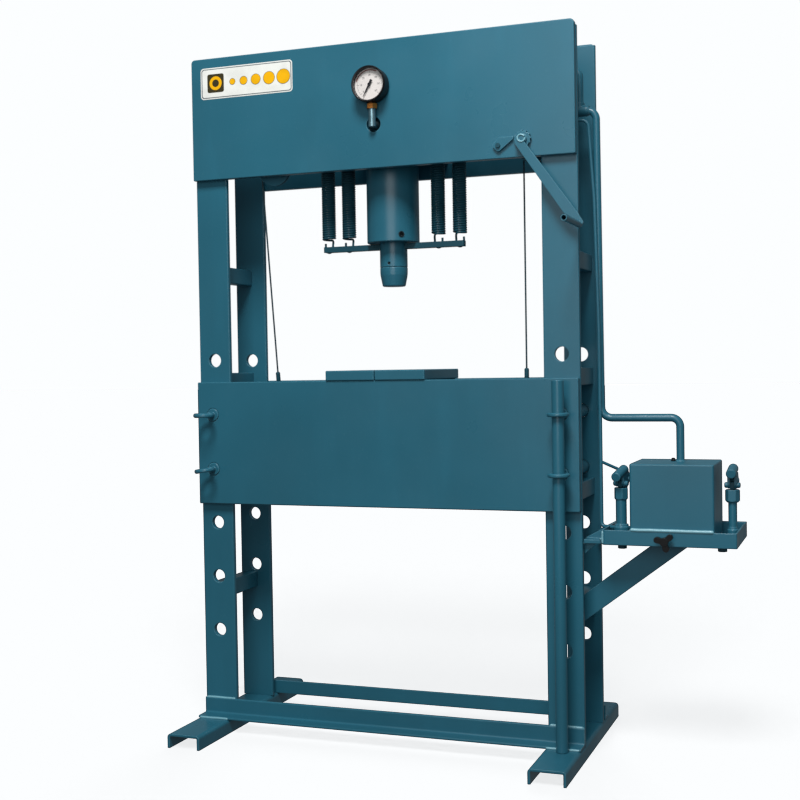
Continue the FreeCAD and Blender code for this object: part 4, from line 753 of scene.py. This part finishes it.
marks = []
for value in range(DIVISIONS + 1):
    start, width = SHORT_MARK if value % PER_NUMBER else LONG_MARK
    marks.append(tick(scale_angle(value), start, MARK_END, width))
marks += arc_band(*DARK_ARC)
mesh_piece("gauge_marks", marks, ink, smooth=False)
# The warm arc: partly print, partly painted shade from the bezel's reflection.
mesh_piece("gauge_warm_arc", arc_band(*WARM_ARC), warm_ink_and_shade, smooth=False)

# %% [markdown]
# ## Numbers of the dial
# The numbers come from Blender's own plain font. A text is a filled curve; its mesh is taken
# while it still lies flat, then set upright in front of the card point by point, so that the
# finished piece sits at the origin like every other.

# %% Numbers of the dial
NUMBER_RADIUS, NUMBER_SIZE = 0.0262, 0.0075


def number_shell(text, place):
    """A number as flat triangles: x goes to x, y goes to z, moved to its place on the card."""
    curve = bpy.data.curves.new("number", "FONT")
    curve.body, curve.size, curve.align_x, curve.align_y = text, NUMBER_SIZE, "CENTER", "CENTER"
    holder = bpy.data.objects.new("number", curve)
    bpy.context.scene.collection.objects.link(holder)
    evaluated = holder.evaluated_get(bpy.context.evaluated_depsgraph_get())
    flat = bpy.data.meshes.new_from_object(evaluated)
    flat.calc_loop_triangles()
    points = np.empty(3 * len(flat.vertices))
    faces = np.empty(3 * len(flat.loop_triangles), dtype=np.int32)
    flat.vertices.foreach_get("co", points)
    flat.loop_triangles.foreach_get("vertices", faces)
    bpy.data.objects.remove(holder)
    x, z = points[0::3] + place[0], points[1::3] + place[1]
    return np.stack([x, np.full(len(x), PRINT_FRONT), z], axis=-1), faces.reshape(-1, 3)


digits = [
    number_shell(str(value), on_dial(NUMBER_RADIUS, scale_angle(value)))
    for value in range(0, DIVISIONS + 1, PER_NUMBER)
]
mesh_piece("gauge_numbers", digits, ink, smooth=False)

# %% [markdown]
# ## Outlines for the sign
# A plain printed foil sits at the top plate's upper left. Its shapes are rectangles with round
# corners and discs, both given as outlines. The layers of print lie less than a tenth of a
# millimetre apart, which keeps their colours from flickering through each other.

# %% Outlines
PLATE_FACE, LAYER_STEP = -0.1475, 0.00008


def rounded_rectangle(x_low, x_high, z_low, z_high, radius, per_corner=8):
    """Outline with quarter circles at its corners, counted round from the lower right."""
    corners = [(x_high, z_low, -90), (x_high, z_high, 0), (x_low, z_high, 90), (x_low, z_low, 180)]
    quarter = np.radians(np.linspace(0, 90, per_corner))
    outline = []
    for x, z, start in corners:
        middle_x = x - radius if x == x_high else x + radius
        middle_z = z + radius if z == z_low else z - radius
        angle = quarter + math.radians(start)
        spokes = np.stack([np.cos(angle), np.sin(angle)], axis=-1) * radius
        outline.append(spokes + (middle_x, middle_z))
    return np.vstack(outline)


def disc(x, z, radius, corners=36):
    """Circle as an outline."""
    angle = np.linspace(0, 2 * np.pi, corners, endpoint=False)
    return np.stack([x + radius * np.cos(angle), z + radius * np.sin(angle)], axis=-1)


def printed(outline, number):
    """Slab of the print's layer with that number, from inside the plate to in front of it."""
    return slab(outline, PLATE_FACE - 0.0002 - LAYER_STEP * number, PLATE_FACE + 0.0002)


print("a disc has", len(disc(0, 0, 1)), "corners")

# %% [markdown]
# ## Sign on the top plate
# The sign's print is generic: a thin grey line round a white foil, a dark square with an amber
# ring in it, and a row of amber discs that grow to the right, each with a thin dark edge. Every
# disc is larger than the last by the same step, and so the gaps have to grow as well.

# %% Sign
SIGN = (-0.541, -0.245, 1.859, 1.950)
RING_X, RING_Z, HALF_SQUARE = -0.492, 1.9045, 0.027
RING_OUTER, RING_INNER, DARK_EDGE = 0.020, 0.011, 0.0012


def inset(distance, radius):
    """The sign's outline drawn inwards by a distance."""
    x_low, x_high, z_low, z_high = SIGN
    edges = x_low + distance, x_high - distance, z_low + distance, z_high - distance
    return rounded_rectangle(*edges, radius)


foil = [printed(inset(0.0, 0.010), 0), printed(inset(0.0055, 0.007), 2)]
line = [printed(inset(0.0030, 0.008), 1)]
square = rounded_rectangle(
    RING_X - HALF_SQUARE, RING_X + HALF_SQUARE, RING_Z - HALF_SQUARE, RING_Z + HALF_SQUARE, 0.006
)
row_of_discs = [(-0.437 + 0.0345 * n + 0.0016 * n**2, 0.0085 + 0.0030 * n) for n in range(5)]
dark_shapes = [printed(square, 3), printed(disc(RING_X, RING_Z, RING_INNER), 5)]
dark_shapes += [printed(disc(x, RING_Z, radius + DARK_EDGE), 3) for x, radius in row_of_discs]
amber_shapes = [printed(disc(x, RING_Z, radius), 4) for x, radius in row_of_discs]
amber_shapes.append(printed(disc(RING_X, RING_Z, RING_OUTER), 4))
mesh_piece("sign_foil", foil, sign_white, smooth=False)
mesh_piece("sign_line", line, sign_grey, smooth=False)
mesh_piece("sign_dark_print", dark_shapes, sign_dark, smooth=False)
mesh_piece("sign_amber_print", amber_shapes, sign_amber, smooth=False)

# %% [markdown]
# ## Grub screw in the ram
# The nose is held by a small screw sunk in the ram. It is a short rod with a six-sided socket:
# a ring between a circle and a hexagon, the socket's walls and its floor. Rows of the same 36
# angles make them all, so that one grid of triangles covers the screw without a cut.

# %% Grub screw
SCREW_SIDES, SCREW_CHAMFER = 36, 0.0004


def socket_screw(x, z, y_face, radius, flats, depth, length):
    """Rod along Y with a socket; the hexagon's radius is (f / 2) / cos(angle from its flat)."""
    a = np.linspace(0, 2 * np.pi, SCREW_SIDES, endpoint=False)
    circle = np.full(SCREW_SIDES, radius)
    hexagon = flats / 2 / np.cos((a + np.pi / 6) % (np.pi / 3) - np.pi / 6)
    rings = [(circle, y_face + length), (circle, y_face + SCREW_CHAMFER), (circle * 0.9, y_face)]
    rings += [(hexagon, y_face), (hexagon * 0.98, y_face + depth)]
    rows = [
        np.stack([x + reach * np.cos(a), np.full(SCREW_SIDES, y), z + reach * np.sin(a)], axis=-1)
        for reach, y in rings
    ]
    points = np.vstack(rows + [[[x, y_face + length, z]], [[x, y_face + depth, z]]])
    count = SCREW_SIDES * len(rings)
    back = fan(count, 0, SCREW_SIDES, backwards=True)
    socket_floor = fan(count + 1, count - SCREW_SIDES, SCREW_SIDES)
    return points, np.vstack(wrapped(len(rings), SCREW_SIDES) + [back, socket_floor])


screw = socket_screw(0.0, 1.366, -0.0378, 0.0043, 0.004, 0.003, 0.0045)
mesh_piece("ram_grub_screw", [screw], dark_steel, body="ram_body", smooth=False)

# %% [markdown]
# ## Floor
# The press stands in a white studio. The floor catches the shadow and nothing else: it sends no
# light back to the steel, because a lamp of its own makes it bright, and that light would
# otherwise shine up under the plates.

# %% Floor
FLOOR_REACH, FLOOR_Z = 60.0, -0.0005
floor_corners = [
    (x * FLOOR_REACH, y * FLOOR_REACH, FLOOR_Z) for x, y in ((-1, -1), (1, -1), (1, 1), (-1, 1))
]
floor_mesh = bpy.data.meshes.new("studio_floor")
floor_mesh.from_pydata(floor_corners, [], [(0, 1, 2, 3)])
floor_paint = Finish("studio_floor").surface(Base_Color=colour((250, 252, 253)), Roughness=0.9)
floor_mesh.materials.append(floor_paint)
floor = bpy.data.objects.new("studio_floor", floor_mesh)
bpy.context.scene.collection.objects.link(floor)
floor.is_shadow_catcher = True
floor.visible_diffuse = floor.visible_glossy = False
print("floor at z =", FLOOR_Z)

# %% [markdown]
# ## World
# The world is two skies in one. The camera, and glass that looks through, see it near white.
# As a light it is dim and a little blue, which keeps the shaded sides dark. Reflections get a
# small share of the white, enough for a sheen on the enamel.

# %% World
LIT_STRENGTH, MIRRORED_SHARE = 0.08, 0.1
studio = Graph(bpy.data.worlds.new("studio"), "ShaderNodeOutputWorld")
rays = studio.node("ShaderNodeLightPath").outputs
seen = studio.node("ShaderNodeBackground", Color=colour((252, 254, 255)))
lit = studio.node("ShaderNodeBackground", Color=(0.6, 0.9, 1.0, 1), Strength=LIT_STRENGTH)
share = studio.maths("MULTIPLY", rays["Is Glossy Ray"], MIRRORED_SHARE)
for kind in ("Is Camera Ray", "Is Transmission Ray"):
    share = studio.maths("MAXIMUM", rays[kind], share)
bpy.context.scene.world = studio.close(studio.between(share, lit, seen))
print("world lights with", LIT_STRENGTH)

# %% [markdown]
# ## Lamps
# The key is a soft box high in front, a little to the right, so that fronts are light and the
# parts behind the plates stay dark. A larger, weaker box near the camera fills the fronts and
# draws soft lights down the round parts. Two more fill the back and the right side; they are kept
# out of reflections. A sun that reaches the floor alone keeps the shadow there faint.


# %% Lamps
def area_lamp(name, place, target, size, watts, mirrored=True):
    """Square soft box that looks at a point."""
    lamp = bpy.data.lights.new(name, "AREA")
    lamp.size, lamp.energy = size, watts
    holder = bpy.data.objects.new(name, lamp)
    turn = (Vector(target) - Vector(place)).to_track_quat("-Z", "Y").to_matrix().to_4x4()
    holder.matrix_world = Matrix.Translation(place) @ turn
    holder.visible_glossy = mirrored
    bpy.context.scene.collection.objects.link(holder)


area_lamp("key", (0.7, -2.8, 4.8), (0.1, 0, 1.2), 1.4, 212)
area_lamp("front_fill", (0.9, -4.8, 2.1), (0.1, 0, 1.1), 3.0, 72)
area_lamp("rear_fill", (-0.9, 4.4, 3.0), (0, 0, 1.0), 2.0, 112, mirrored=False)
area_lamp("side_fill", (4.6, 1.2, 1.8), (0.3, 0, 1.0), 2.0, 12, mirrored=False)
wash = bpy.data.objects.new("floor_wash", bpy.data.lights.new("floor_wash", "SUN"))
wash.data.energy, wash.data.use_shadow = 22.0, False
bpy.context.scene.collection.objects.link(wash)
only_floor = bpy.data.collections.new("floor_only")
only_floor.objects.link(floor)
wash.light_linking.receiver_collection = only_floor

# %% [markdown]
# ## Camera
# The place and the turn come from matching the plates' edges and the holes with the photograph:
# the camera stands 3.7 m away, a little to the right, at the height of the bed's top. Its three
# axes are worked out from yaw, pitch and roll and put into a matrix, column by column.

# %% Camera
CAMERA_PLACE = Vector((1.313293, -3.488242, 1.065694))
YAW, PITCH, ROLL = math.radians(20.458), math.radians(1.462), math.radians(-0.933)
FOCAL_PIXELS, WIDTH_PIXELS, SENSOR = 1278.9, 800, 36.0
ahead = math.cos(PITCH)
forward = Vector((-math.sin(YAW) * ahead, math.cos(YAW) * ahead, -math.sin(PITCH)))
level_right = Vector((math.cos(YAW), math.sin(YAW), 0))
level_up = level_right.cross(forward)
right = math.cos(ROLL) * level_right + math.sin(ROLL) * level_up
up = -math.sin(ROLL) * level_right + math.cos(ROLL) * level_up
camera = bpy.data.objects.new("camera", bpy.data.cameras.new("camera"))
bpy.context.scene.collection.objects.link(camera)
turn = Matrix((right, up, -forward)).transposed().to_4x4()
camera.matrix_world = Matrix.Translation(CAMERA_PLACE) @ turn
camera.data.sensor_width = SENSOR
camera.data.lens = FOCAL_PIXELS * SENSOR / WIDTH_PIXELS
bpy.context.scene.camera = camera
bpy.context.scene.view_settings.view_transform = "Standard"
print("lens", round(camera.data.lens, 2), "mm")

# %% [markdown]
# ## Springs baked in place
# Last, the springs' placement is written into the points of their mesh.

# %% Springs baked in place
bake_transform(springs)
